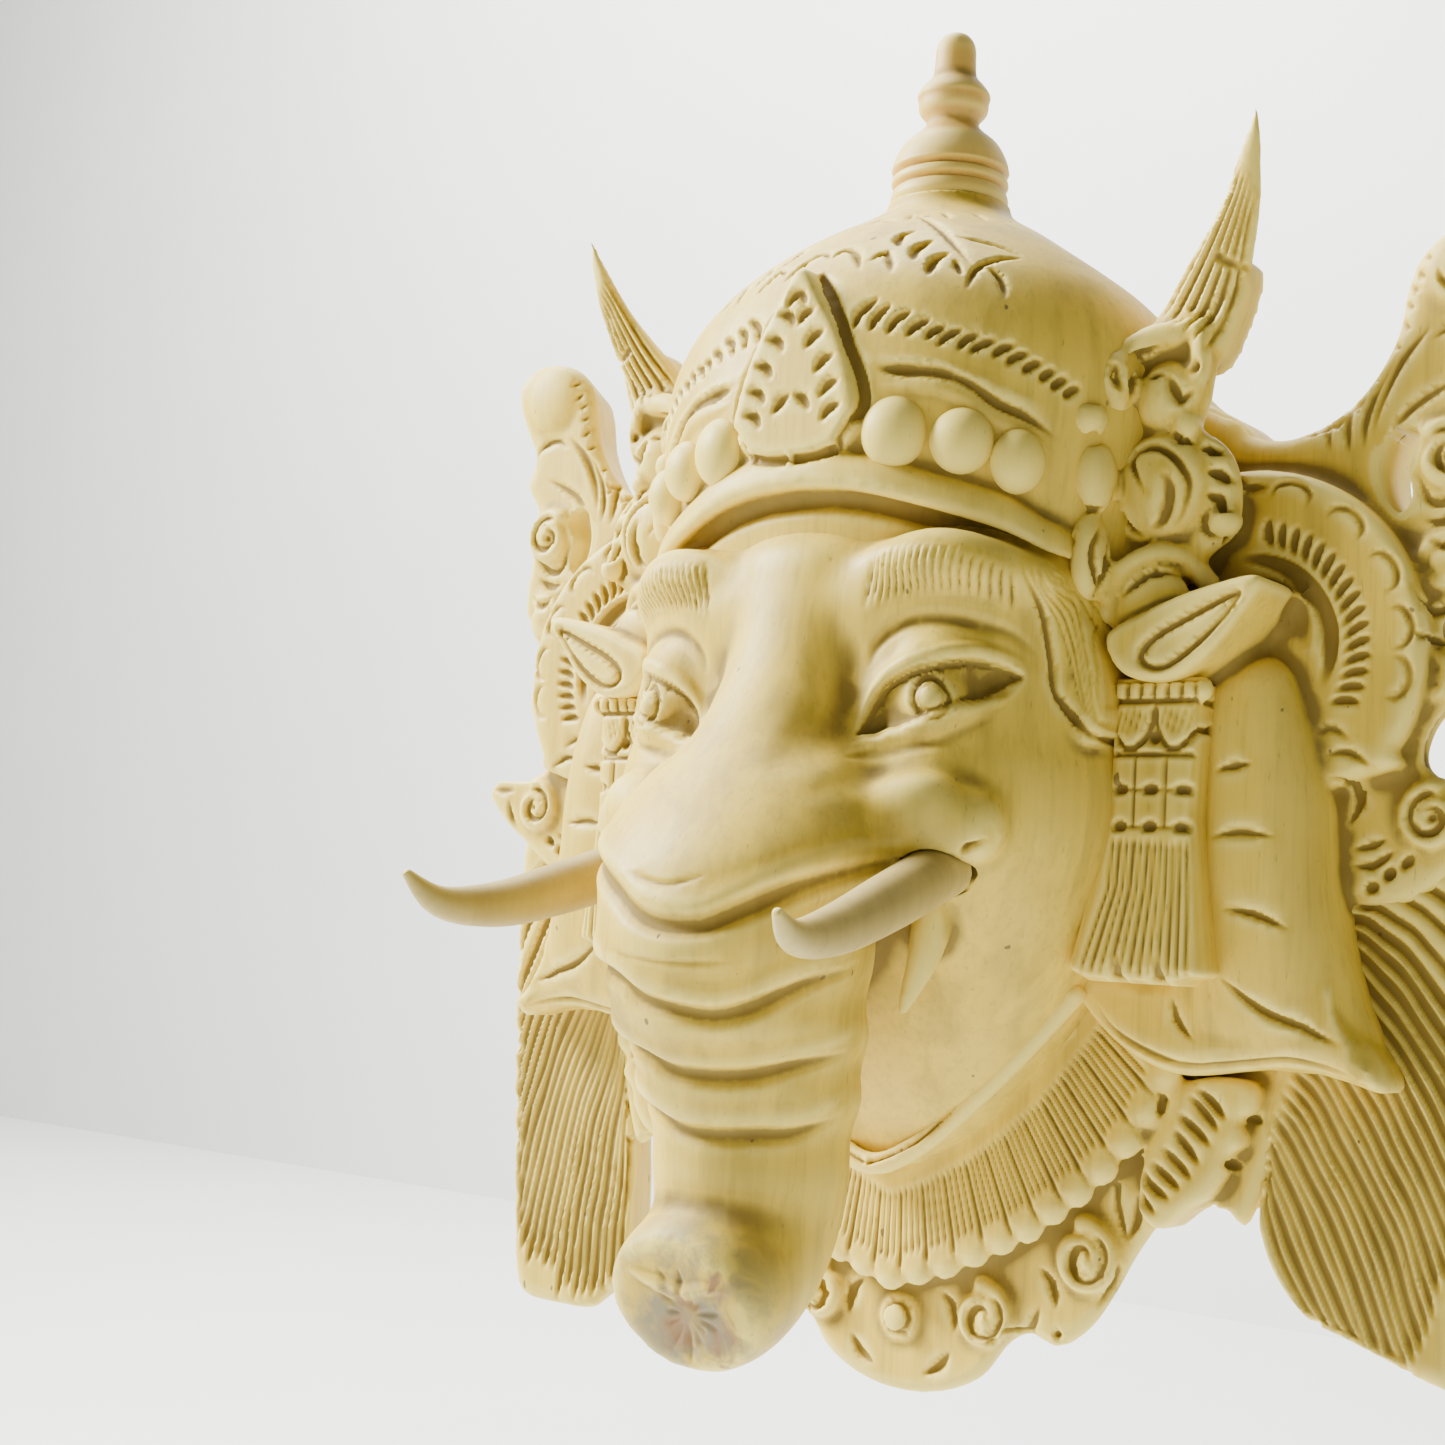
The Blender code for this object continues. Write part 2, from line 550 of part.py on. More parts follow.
def mask_body(cutters):
    """The carved block: its forms are gathered, melted into one skin, thinned and cut."""
    block = Block()
    head(block)
    crown(block)
    for side in (-1, 1):
        wing(block, side)
    mane(block, 1, MANE_RIGHT, 8)
    mane(block, -1, MANE_LEFT, 26)
    collar(block)
    thing = skin(new_object("mask_body", finish_mesh(block.bm, "mask_body")), VOXEL, 2)
    bpy.context.view_layer.update()
    faces = len(thing.evaluated_get(bpy.context.evaluated_depsgraph_get()).data.polygons)
    thin = thing.modifiers.new("thin", "DECIMATE")
    thin.ratio = BODY_FACES / (2 * faces)
    for shape in cutters:
        cut = thing.modifiers.new(shape.name, "BOOLEAN")
        cut.operation = "DIFFERENCE"
        cut.object = shape
    thing.data.materials.append(material("carved_wood", WOOD))
    return thing


def main():
    for thing in list(bpy.data.objects):
        bpy.data.objects.remove(thing)
    finial()
    left, left_socket = tusk(-1, "tusk_left", TUSK_TIP_LIFT_LEFT)
    right, right_socket = tusk(1, "tusk_right", TUSK_TIP_LIFT_RIGHT)
    sockets = [left_socket, right_socket]
    mask_body([*back_cutters(), *pierced_cutters(), finial_seat(), nostril_cutter(), *sockets])


main()
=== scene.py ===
"""Carved wooden wall mask: the fine carving, the wood and a plain studio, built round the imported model."""

import json
import math
import random

import bmesh
import bpy
import numpy as np
from bpy.props import FloatProperty, FloatVectorProperty, PointerProperty
from bpy.types import Operator, Panel, PropertyGroup
from mathutils import Matrix, Vector
from mathutils.bvhtree import BVHTree

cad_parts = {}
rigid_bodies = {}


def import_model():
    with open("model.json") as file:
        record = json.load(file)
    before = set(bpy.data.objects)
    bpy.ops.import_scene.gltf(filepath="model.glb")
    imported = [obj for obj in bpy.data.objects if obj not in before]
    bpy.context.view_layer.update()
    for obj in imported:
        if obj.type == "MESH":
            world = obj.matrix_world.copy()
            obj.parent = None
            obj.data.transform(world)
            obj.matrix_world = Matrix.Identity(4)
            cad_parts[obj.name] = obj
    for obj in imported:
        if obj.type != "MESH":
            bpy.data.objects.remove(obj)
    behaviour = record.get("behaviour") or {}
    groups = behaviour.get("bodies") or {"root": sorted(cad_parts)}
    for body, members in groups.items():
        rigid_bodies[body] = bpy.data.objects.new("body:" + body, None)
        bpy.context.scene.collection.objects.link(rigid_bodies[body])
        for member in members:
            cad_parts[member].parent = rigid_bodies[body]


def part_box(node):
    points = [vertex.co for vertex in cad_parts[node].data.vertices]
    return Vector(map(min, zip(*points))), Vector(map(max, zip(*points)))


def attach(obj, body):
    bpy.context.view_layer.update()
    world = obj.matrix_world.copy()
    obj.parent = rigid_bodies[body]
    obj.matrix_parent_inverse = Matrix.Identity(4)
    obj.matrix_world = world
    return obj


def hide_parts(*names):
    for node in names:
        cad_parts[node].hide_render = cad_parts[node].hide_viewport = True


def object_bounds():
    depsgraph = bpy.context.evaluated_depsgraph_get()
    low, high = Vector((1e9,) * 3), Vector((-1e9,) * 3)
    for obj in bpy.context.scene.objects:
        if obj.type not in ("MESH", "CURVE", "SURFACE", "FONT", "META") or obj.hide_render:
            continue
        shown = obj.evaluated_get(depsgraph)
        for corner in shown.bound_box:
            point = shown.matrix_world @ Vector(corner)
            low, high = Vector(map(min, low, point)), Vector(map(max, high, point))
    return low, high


bl_info = {
    "name": "Carved wall mask",
    "version": (1, 0, 0),
    "blender": (4, 5, 0),
    "location": "3D View > Sidebar > Mask",
    "description": "Builds the carved pieces, the wood and the studio of a wooden wall mask",
    "category": "Add Mesh",
}

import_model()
CAD_LOW, CAD_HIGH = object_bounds()

# The carving is drawn in carver's units, 400 to the mask's height: x to the right, p out from the wall and
# z above the chin.
UNIT = 0.001
CHIN = 246


def at(x, p, z):
    """A point in carver's units as a place in the mask's own frame."""
    return Vector((x * UNIT, -p * UNIT, (z - CHIN) * UNIT))


class MaskSizes(PropertyGroup):
    """How finely the wood is cut."""

    head_grain: FloatProperty(
        name="Head fineness", description="Width of a facet on the face", default=0.00145, unit="LENGTH"
    )
    crown_grain: FloatProperty(
        name="Crown fineness", description="Width of a facet on the crown", default=0.0013, unit="LENGTH"
    )
    wing_grain: FloatProperty(
        name="Wing fineness", description="Width of a facet on the wings", default=0.0013, unit="LENGTH"
    )
    back_grain: FloatProperty(
        name="Back fineness", description="Width of a facet on the back", default=0.0022, unit="LENGTH"
    )
    mane_grain: FloatProperty(
        name="Mane fineness", description="Width of a facet on the manes", default=0.0012, unit="LENGTH"
    )
    tassel_grain: FloatProperty(
        name="Tassel fineness", description="Width of a facet on the tassels", default=0.0008, unit="LENGTH"
    )
    tusk_grain: FloatProperty(
        name="Tusk fineness", description="Width of a facet on the tusks", default=0.0006, unit="LENGTH"
    )
    bite: FloatProperty(
        name="Bite", description="How deep the gouges go, as a share", default=1.0, min=0.2, max=2.0
    )


class MaskColours(PropertyGroup):
    """The colours of the bare wood, of what has settled in it and of the painted shade in its hollows."""

    pale: FloatVectorProperty(
        name="Pale wood", description="Wood on the open faces", subtype="COLOR", size=4,
        default=(0.80, 0.575, 0.06, 1),
    )
    warm: FloatVectorProperty(
        name="Warm wood", description="Yellower patches", subtype="COLOR", size=4,
        default=(0.70, 0.47, 0.035, 1),
    )
    # The crevice colour is grime and painted shade in the cuts and hollows, and the dark of the grain.
    crevice: FloatVectorProperty(
        name="Crevices", description="Dirt in the cuts", subtype="COLOR", size=4,
        default=(0.17, 0.11, 0.022, 1),
    )
    worn: FloatVectorProperty(
        name="Worn edges", description="Rubbed edges", subtype="COLOR", size=4,
        default=(0.92, 0.76, 0.17, 1),
    )
    pore: FloatVectorProperty(
        name="Pores", description="Pores and small knots", subtype="COLOR", size=4,
        default=(0.12, 0.075, 0.03, 1),
    )
    # Grey and brown clouds that the wood takes round the trunk's end.
    trunk_end_grey: FloatVectorProperty(
        name="Trunk end grey", description="Grey clouds round the trunk's end", subtype="COLOR", size=4,
        default=(0.27, 0.225, 0.11, 1),
    )
    trunk_end_brown: FloatVectorProperty(
        name="Trunk end brown", description="Brown marks on the trunk's end", subtype="COLOR", size=4,
        default=(0.30, 0.17, 0.06, 1),
    )
    finial: FloatVectorProperty(
        name="Finial", description="Turned finial", subtype="COLOR", size=4,
        default=(0.78, 0.48, 0.04, 1),
    )
    finial_warm: FloatVectorProperty(
        name="Finial patches", description="Warmer patches on the finial", subtype="COLOR", size=4,
        default=(0.62, 0.40, 0.11, 1),
    )
    tusk_left: FloatVectorProperty(
        name="Left tusk", description="Tan tusk", subtype="COLOR", size=4,
        default=(0.42, 0.31, 0.07, 1),
    )
    tusk_right: FloatVectorProperty(
        name="Right tusk", description="Paler tusk", subtype="COLOR", size=4,
        default=(0.54, 0.41, 0.12, 1),
    )


class MaskStudio(PropertyGroup):
    """The studio that the mask is seen in."""

    key_power: FloatProperty(
        name="Key light", description="Light from the upper left", default=130.0, unit="POWER"
    )
    fill_power: FloatProperty(
        name="Fill light", description="Light from the right", default=2.0, unit="POWER"
    )
    sky: FloatProperty(name="Sky", description="Strength of the light from all round", default=0.11, min=0)
    floor_drop: FloatProperty(
        name="Floor drop", description="Floor under the mask's origin", default=0.75, unit="LENGTH"
    )


def through(points, steps=4, closed=False):
    """A smooth line through points of any size, as a list of tuples."""
    count = len(points)
    line = []
    for i in range(count if closed else count - 1):
        if closed:
            a, b, c, d = (points[(i + k) % count] for k in (-1, 0, 1, 2))
        else:
            a, b, c, d = (points[min(max(i + k, 0), count - 1)] for k in (-1, 0, 1, 2))
        for s in range(steps):
            t = s / steps
            spot = []
            for u, v, w, x in zip(a, b, c, d):
                bend = (w - u) * t + (2 * u - 5 * v + 4 * w - x) * t * t + (3 * v - u - 3 * w + x) * t**3
                spot.append(0.5 * (2 * v + bend))
            line.append(tuple(spot))
    if not closed:
        line.append(tuple(points[-1]))
    return line


def mirrored(points):
    return [(-q[0], *q[1:]) for q in points]


def whole(half):
    """A closed outline, from a half that starts and ends on the middle line."""
    return half + mirrored(half[-2:0:-1])


def side_to_side(half):
    """A line across the mask, from a half that ends on the middle line."""
    return mirrored(half) + half[-2::-1]


def mix(a, b, t):
    return tuple(u + (v - u) * t for u, v in zip(a, b))


def deselect():
    bpy.ops.object.select_all(action="DESELECT")


def only(thing):
    """Selects one object and makes it active."""
    deselect()
    thing.select_set(True)
    bpy.context.view_layer.objects.active = thing


def apply_modifier(thing, kind, **settings):
    only(thing)
    made = thing.modifiers.new(kind.lower(), kind)
    for name, value in settings.items():
        setattr(made, name, value)
    bpy.ops.object.modifier_apply(modifier=made.name)


def remove(thing):
    bpy.data.objects.remove(thing)


class Forms:
    """The rough forms of one piece, roughed out one by one and then melted into one skin."""

    def __init__(self):
        self.parts = []

    def keep(self, bm):
        bmesh.ops.recalc_face_normals(bm, faces=bm.faces)
        mesh = bpy.data.meshes.new("form")
        bm.to_mesh(mesh)
        bm.free()
        thing = bpy.data.objects.new("form", mesh)
        bpy.context.scene.collection.objects.link(thing)
        self.parts.append(thing)

    def ball(self, centre, radii, swing=0.0):
        """An ellipsoid of radii across, out and up. Swing turns it about the upright, in degrees."""
        bpy.ops.mesh.primitive_uv_sphere_add(segments=32, ring_count=20, radius=1, location=at(*centre))
        thing = bpy.context.object
        thing.scale = [r * UNIT for r in radii]
        thing.rotation_euler = (0, 0, math.radians(swing))
        self.parts.append(thing)

    def band(self, line, heart, profile):
        """A moulding along a line round a heart (x, p), with a profile of steps out and up."""
        rings = []
        for x, p, z in through(line, 8):
            away = Vector((x - heart[0], p - heart[1])).normalized()
            rings.append([at(x + away.x * out, p + away.y * out, z + up) for out, up in profile])
        self.rings(rings)

    def rings(self, rings):
        bm = bmesh.new()
        made = [[bm.verts.new(q) for q in ring] for ring in rings]
        count = len(made[0])
        for one, two in zip(made, made[1:]):
            for k in range(count):
                bm.faces.new((one[k], one[(k + 1) % count], two[(k + 1) % count], two[k]))
        bm.faces.new(made[0])
        bm.faces.new(list(reversed(made[-1])))
        self.keep(bm)

    def plate(self, outline, back, front, edge=3.0, undercut=0.0, smooth=True):
        """A board with the given outline in the front view, rounded in front and cut under behind."""
        line = [Vector(q) for q in (through(outline, 5, closed=True) if smooth else outline)]
        count = len(line)
        turn = sum(line[i - 1].cross(line[i]) for i in range(count))
        inward = []
        for i in range(count):
            along = (line[(i + 1) % count] - line[i - 1]).normalized()
            inward.append(Vector((-along.y, along.x)) * (1 if turn > 0 else -1))
        steps = ((back, undercut), (front - edge, 0), (front - 0.3 * edge, 0.3 * edge), (front, edge))
        rings = []
        for p, inset in steps:
            ring = [q + n * inset for q, n in zip(line, inward)]
            rings.append([at(q.x, p, q.y) for q in ring])
        self.rings(rings)

    def tube(self, points, radii, sides=14):
        """A round bar through points, each with its own radius."""
        line = through([(*q, r) for q, r in zip(points, radii)], 5)
        rings = []
        for i, (x, p, z, r) in enumerate(line):
            ahead = at(*line[min(i + 1, len(line) - 1)][:3]) - at(*line[max(i - 1, 0)][:3])
            pose = ahead.to_track_quat("Z", "Y").to_matrix()
            turns = [2 * math.pi * k / sides for k in range(sides)]
            spot, r = at(x, p, z), r * UNIT
            rings.append([spot + pose @ Vector((r * math.cos(a), r * math.sin(a), 0)) for a in turns])
        self.rings(rings)
        for (x, p, z), r in ((points[0], radii[0]), (points[-1], radii[-1])):
            if r > 2:
                self.ball((x, p, z), (r, r, r))

    def loft(self, sections, squareness=2.0, sides=64):
        """Rings (x, p, z, across, out) or with a tilt as well, joined in turn. Squareness 2 is an oval."""
        rings = []
        for x, p, z, across, out, *more in through(sections, 4):
            tilt = more[0] if more else 0.0
            ring = []
            for k in range(sides):
                a = 2 * math.pi * k / sides
                u, v = (math.copysign(abs(w) ** (2 / squareness), w) for w in (math.cos(a), math.sin(a)))
                ring.append(at(x + across * u, p + out * v * math.cos(tilt), z + out * v * math.sin(tilt)))
            rings.append(ring)
        self.rings(rings)

    def volute(self, centre, radius, p, start, hand, width, rise=2.0):
        """A raised spiral scroll that winds in from its outside, with a boss at its eye."""
        count, turns = 20, 1.4
        points, radii = [], []
        for k in range(count + 1):
            t = k / count
            a = math.radians(start + hand * t * turns * 360)
            r = radius * (1 - width) * (1 - 0.8 * t)
            points.append((centre[0] + r * math.cos(a), p + rise * t, centre[1] + r * math.sin(a)))
            radii.append(radius * width * (1 - 0.4 * t))
        self.tube(points, radii, 12)
        self.ball((centre[0], p - 2, centre[1]), (radius * 0.8, 4, radius * 0.8))

    def join(self, name):
        deselect()
        for part in self.parts:
            part.select_set(True)
        bpy.context.view_layer.objects.active = self.parts[0]
        bpy.ops.object.join()
        thing = bpy.context.object
        bpy.ops.object.transform_apply(location=True, rotation=True, scale=True)
        thing.name = thing.data.name = name
        self.parts = [thing]
        return thing

    def melt(self, name, facet, softening):
        """Joins the forms, melts them into one skin and softens it."""
        thing = self.join(name)
        melt_skin(thing, facet, softening)
        return thing


def melt_skin(thing, facet, softening):
    apply_modifier(thing, "REMESH", mode="VOXEL", voxel_size=facet)
    apply_modifier(thing, "SMOOTH", factor=0.5, iterations=softening)


def saw_back(thing, p):
    """Saws off what lies behind a plane at p from the wall, and closes the cut."""
    only(thing)
    bpy.ops.object.mode_set(mode="EDIT")
    bpy.ops.mesh.select_all(action="SELECT")
    bpy.ops.mesh.bisect(plane_co=at(0, p, 0), plane_no=(0, -1, 0), use_fill=True, clear_inner=True)
    bpy.ops.object.mode_set(mode="OBJECT")


def keep_whole(thing):
    """Keeps what is joined to the outermost corner, without the specks that melting leaves inside."""
    only(thing)
    corners = thing.data.vertices
    outermost = max(range(len(corners)), key=lambda k: corners[k].co.x)
    bpy.ops.object.mode_set(mode="EDIT")
    bpy.ops.mesh.select_all(action="DESELECT")
    bpy.ops.object.mode_set(mode="OBJECT")
    corners[outermost].select = True
    bpy.ops.object.mode_set(mode="EDIT")
    bpy.ops.mesh.select_linked()
    bpy.ops.mesh.select_all(action="INVERT")
    bpy.ops.mesh.delete(type="VERT")
    bpy.ops.object.mode_set(mode="OBJECT")


def cut(thing, shape):
    """Cuts a shape out of a piece and removes the shape."""
    apply_modifier(thing, "BOOLEAN", operation="DIFFERENCE", object=shape, solver="EXACT")
    remove(shape)


def cut_hollow(thing, ease):
    """Cuts the hollow of the back, a little wider by ease."""
    low, high = (-56 - ease, -52 - ease * 0.2, 42 - CHIN - ease), (56 + ease, 30, -14 + ease)
    centre = [(a + b) / 2 * UNIT for a, b in zip(low, high)]
    scale = [(b - a) * UNIT for a, b in zip(low, high)]
    bpy.ops.mesh.primitive_cube_add(size=1, location=centre, scale=scale)
    box = bpy.context.object
    only(box)
    bpy.ops.object.transform_apply(location=True, rotation=True, scale=True)
    apply_modifier(box, "BEVEL", width=16 * UNIT, segments=6)
    cut(thing, box)


class Carving:
    """The tool cuts on one piece.

    A place is (x, z), met from the front, or (x, p, z), met where it is nearest.
    """

    MARGIN = 0.02
    FIELD_REACH = 26
    FINE_STEPS, BROAD_STEPS = 6, 30

    def __init__(self, thing, side=1):
        self.thing = thing
        self.side = side
        self.strokes = []
        mesh = thing.data
        self.tree = BVHTree.FromPolygons([v.co for v in mesh.vertices], [f.vertices for f in mesh.polygons])

    def place(self, q):
        if len(q) == 2:
            start = at(self.side * q[0], 300, q[1])
            hit = self.tree.ray_cast(start, Vector((0, 1, 0)))
            if hit[0] is None:
                hit = self.tree.find_nearest(at(self.side * q[0], 40, q[1]))
        else:
            hit = self.tree.find_nearest(at(self.side * q[0], q[1], q[2]))
        return hit[0] / UNIT, hit[1]

    def nearest(self, spot):
        return self.tree.find_nearest(spot * UNIT)[0] / UNIT

    def keep(self, line, width, depth, kind, ends=0.0, rise=False):
        self.strokes.append((np.array(line), width, depth, kind, ends, rise))

    def stroke(self, points, width, depth, kind="v", ends=0.3, steps=4, closed=False, rise=False):
        """Keeps a cut along points. Width is from its middle to its edge. A rise lifts the wood instead."""
        if len(points) > 2:
            smooth = through(points, steps, closed)
        else:
            smooth = [mix(*points, k / 4) for k in range(5)]
        if closed:
            smooth.append(smooth[0])
            ends = 0.0
        self.keep([self.place(q)[0] for q in smooth], width, depth, kind, ends, rise)

    def gouges(self, cuts, ends):
        """Keeps round cuts that are given as (points, width, depth)."""
        for points, width, depth in cuts:
            self.stroke(points, width, depth, kind="u", ends=ends)

    def ridge(self, points, width, height, **more):
        self.stroke(points, width, height, kind="soft", rise=True, **more)

    def basis(self, q, toward):
        """A place on the surface, with the directions along it towards another place, and across."""
        spot, normal = self.place(q)
        ahead = self.place(toward)[0] - spot
        ahead -= normal * ahead.dot(normal)
        ahead.normalize()
        return spot, ahead, normal.cross(ahead)

    def curl(self, q, toward, radius, start, sweep, width, depth, count, ends, inner=1.0):
        """Keeps an arc about q that shrinks to the inner share of its radius.

        Its angles are in degrees from the direction towards another place.
        """
        spot, ahead, across = self.basis(q, toward)
        line = []
        for k in range(count + 1):
            t = k / count
            a = math.radians(start + sweep * t)
            r = radius * (1 - (1 - inner) * t)
            line.append(self.nearest(spot + r * (math.cos(a) * ahead + math.sin(a) * self.side * across)))
        self.keep(line, width, depth, "u", ends)

    def ring(self, q, toward, radius, width, depth):
        self.curl(q, toward, radius, 0, 360, width, depth, 20, 0.0)

    def spiral(self, q, toward, radius, start, turns, width, depth, hand):
        self.curl(q, toward, radius, start, hand * 360 * turns, width, depth, int(16 * turns), 0.15, 0.3)

    def between(self, one, two, count, width, depth, kind, ends, bow=0.0):
        """Cuts from points along one line to points along another."""
        for k in range(count):
            t = k / (count - 1)
            a, b = walk(one, t), walk(two, t)
            points = [a, b]
            if bow:
                middle = list(mix(a, b, 0.55))
                middle[0] += bow * (b[-1] - a[-1])
                middle[-1] -= bow * (b[0] - a[0])
                points.insert(1, tuple(middle))
            self.stroke(points, width, depth, kind=kind, ends=ends)

    def comb(
        self, guides, counts, width, depth, wave=0.0, length=18.0, kind="v", ends=0.12, seed=1, ragged=0.08
    ):
        """Long cuts side by side that change shape from one guide to the next."""
        chance = random.Random(seed)
        for (one, two), count in zip(zip(guides, guides[1:]), counts):
            for k in range(count):
                t = (k + 0.5) / count
                first, last = chance.uniform(0, ragged), 1 - chance.uniform(0, ragged)
                phase = chance.uniform(0, 1.2)
                line = []
                for s in range(9):
                    u = first + (last - first) * s / 8
                    q = list(mix(walk(one, u), walk(two, u), t))
                    q[0] += wave * math.sin(2 * math.pi * (q[-1] / length) + phase)
                    line.append(tuple(q))
                size = chance.uniform(0.8, 1.15)
                self.stroke(line, width * size, depth * size, kind=kind, ends=ends, steps=3)

    def field(self, outline, depth, wall, rise=False):
        """Sinks or lifts all of a field by depth, with a wall of the given width inside its outline."""
        line = [(self.side * x, z - CHIN) for x, z in through(outline, 4, closed=True)]
        middle = self.place(tuple(np.mean(np.array(outline), axis=0)))[0]
        self.keep(line, wall, depth, "field", -middle.y, rise)

    def dent(self, q, radius, depth, rise=False):
        """A soft round hollow, or with rise a soft swelling."""
        line = np.array([self.place(q)[0]] * 2)
        line[1] += 0.01
        self.keep(line, radius, depth, "soft", rise=rise)

    def load(self):
        """Reads the vertices, their normals and the edges."""
        mesh = self.thing.data
        read = []
        for name in ("co", "normal"):
            values = np.empty(len(mesh.vertices) * 3)
            mesh.vertices.foreach_get(name, values)
            read.append(values.reshape(-1, 3))
        self.v, self.n = read[0] / UNIT, read[1]
        self.pairs = np.empty(len(mesh.edges) * 2, dtype=np.int64)
        mesh.edges.foreach_get("vertices", self.pairs)
        self.pairs = self.pairs.reshape(-1, 2)

    def near_line(self, line, width):
        """Vertices near a line, with their distance from it and their place along it."""
        box = ((self.v > line.min(0) - width) & (self.v < line.max(0) + width)).all(1)
        near = np.flatnonzero(box)
        if not near.size:
            return None
        q = self.v[near]
        a, ab = line[:-1], np.diff(line, axis=0)
        long = np.maximum((ab**2).sum(1), 1e-9)
        t = np.clip(((q[:, None] - a) * ab).sum(2) / long, 0, 1)
        gap = q[:, None] - (a + t[..., None] * ab)
        far = (gap**2).sum(2)
        k = far.argmin(1)
        rows = np.arange(near.size)
        d = np.sqrt(far[rows, k])
        close = d < width
        near, d, k, rows = near[close], d[close], k[close], rows[close]
        if not near.size:
            return None
        run = np.concatenate(([0], np.cumsum(np.sqrt(long))))
        along = (run[k] + t[rows, k] * (run[k + 1] - run[k])) / run[-1]
        return near, d, along

    def near_field(self, line, reach):
        """Vertices inside an outline in the front view, with their distance from it."""
        flat = self.v[:, (0, 2)]
        box = ((flat > line.min(0)) & (flat < line.max(0))).all(1) & (self.n[:, 1] < 0.1)
        box &= np.abs(-self.v[:, 1] - reach) < self.FIELD_REACH
        near = np.flatnonzero(box)
        if not near.size:
            return None
        q = flat[near]
        inside = np.zeros(near.size, bool)
        best = np.full(near.size, 1e9)
        for a, b in zip(line, np.roll(line, -1, axis=0)):
            crosses = (a[1] > q[:, 1]) != (b[1] > q[:, 1])
            if a[1] != b[1]:
                inside ^= crosses & (q[:, 0] < (b[0] - a[0]) * (q[:, 1] - a[1]) / (b[1] - a[1]) + a[0])
            ab = b - a
            t = np.clip(((q - a) @ ab) / max(ab @ ab, 1e-9), 0, 1)
            best = np.minimum(best, ((q - a - t[:, None] * ab) ** 2).sum(1))
        return near[inside], np.sqrt(best[inside])

    def refine(self):
        """Splits the faces that the cuts touch, so that the cuts come out sharp."""
        self.load()
        touched = np.zeros(len(self.v), bool)
        for line, width, _, kind, ends, _ in self.strokes:
            if kind == "field":
                found = self.near_field(line, ends)
                if found is not None:
                    touched[found[0][found[1] < width + 1.0]] = True
            elif width < 5:
                found = self.near_line(line, width + 0.6)
                if found is not None:
                    touched[found[0]] = True
        only(self.thing)
        bpy.ops.object.mode_set(mode="EDIT")
        bpy.ops.mesh.select_mode(type="VERT")
        bpy.ops.mesh.select_all(action="DESELECT")
        bpy.ops.object.mode_set(mode="OBJECT")
        self.thing.data.vertices.foreach_set("select", touched)
        self.thing.data.edges.foreach_set("select", touched[self.pairs].all(1))
        bpy.ops.object.mode_set(mode="EDIT")
        bpy.ops.mesh.subdivide(number_cuts=1, smoothness=0)
        bpy.ops.object.mode_set(mode="OBJECT")

    def average(self, values):
        """Each vertex's mean of its neighbours."""
        a, b = self.pairs[:, 0], self.pairs[:, 1]
        count = len(values)
        total = np.empty_like(values)
        for k in range(values.shape[1]):
            total[:, k] = np.bincount(a, values[b, k], count) + np.bincount(b, values[a, k], count)
        return total / self.links[:, None]

    def depth_of(self, line, width, depth, kind, ends):
        """The vertices that one cut reaches, and how deep it is there."""
        if kind == "field":
            found = self.near_field(line, ends)
            if found is None:
                return [], []
            near, d = found
            return near, depth * np.clip(d / width, 0, 1) ** 0.8
        found = self.near_line(line, width)
        if found is None:
            return [], []
        near, d, along = found
        taper = np.ones(len(d))
        if ends > 0:
            taper = np.sin(np.clip(np.minimum(along, 1 - along) / ends, 0, 1) * math.pi / 2)
        share = d / (width * (0.35 + 0.65 * taper))
        inside = share < 1
        near, share, taper = near[inside], share[inside], taper[inside]
        if kind == "v":
            amount = 1 - share
        elif kind == "u":
            amount = np.sqrt(1 - share**2)
        else:
            amount = np.cos(share * math.pi / 2) ** 2
        return near, depth * taper * amount

    def finish(self, refined=True):
        """Makes all the cuts, and writes how deep and how hollow each place is, by which the wood's colour is
        darkened with grime and painted shade.
        """
        if refined:
            self.refine()
        self.load()
        count = len(self.v)
        stores = {(field, rise): np.zeros(count) for field in (True, False) for rise in (True, False)}
        for line, width, depth, kind, ends, rise in self.strokes:
            near, amount = self.depth_of(line, width, depth, kind, ends)
            if len(near):
                store = stores[kind == "field", rise]
                store[near] = np.maximum(store[near], amount)
        sunk = stores[False, False] + 0.4 * stores[True, False]
        bite = bpy.context.scene.mask_sizes.bite
        moved = stores[False, True] + stores[True, True] - (stores[False, False] + stores[True, False]) * bite
        self.links = np.maximum(np.bincount(self.pairs.ravel(), minlength=count), 1).astype(float)
        self.v = self.v + self.n * moved[:, None]
        low, high = np.array(CAD_LOW) / UNIT + self.MARGIN, np.array(CAD_HIGH) / UNIT - self.MARGIN
        self.v = np.clip(self.v, low, high)
        soft = self.v
        for step in range(1, self.BROAD_STEPS + 1):
            soft = self.average(soft)
            if step == self.FINE_STEPS:
                fine = ((soft - self.v) * self.n).sum(1)
        broad = ((soft - self.v) * self.n).sum(1)
        mesh = self.thing.data
        mesh.vertices.foreach_set("co", (self.v * UNIT).ravel())
        for name, values in (("cut", sunk), ("fine_hollow", fine), ("broad_hollow", broad)):
            stored = mesh.attributes.new(name, "FLOAT", "POINT")
            stored.data.foreach_set("value", values.astype(np.float32))
        mesh.update()
        only(self.thing)
        bpy.ops.object.shade_smooth()


def carve_both(thing, carve_side, carve_middle=None):
    """Carves one side and its mirror image, and what lies across both."""
    right, left = Carving(thing), Carving(thing, -1)
    for tool in (right, left):
        carve_side(tool)
    if carve_middle:
        carve_middle(right)
    left.strokes += right.strokes
    left.finish()


def walk(line, t):
    """The place a share t of the way along a line of points."""
    spot = min(max(t, 0), 1) * (len(line) - 1)
    k = min(int(spot), len(line) - 2)
    return mix(line[k], line[k + 1], spot - k)


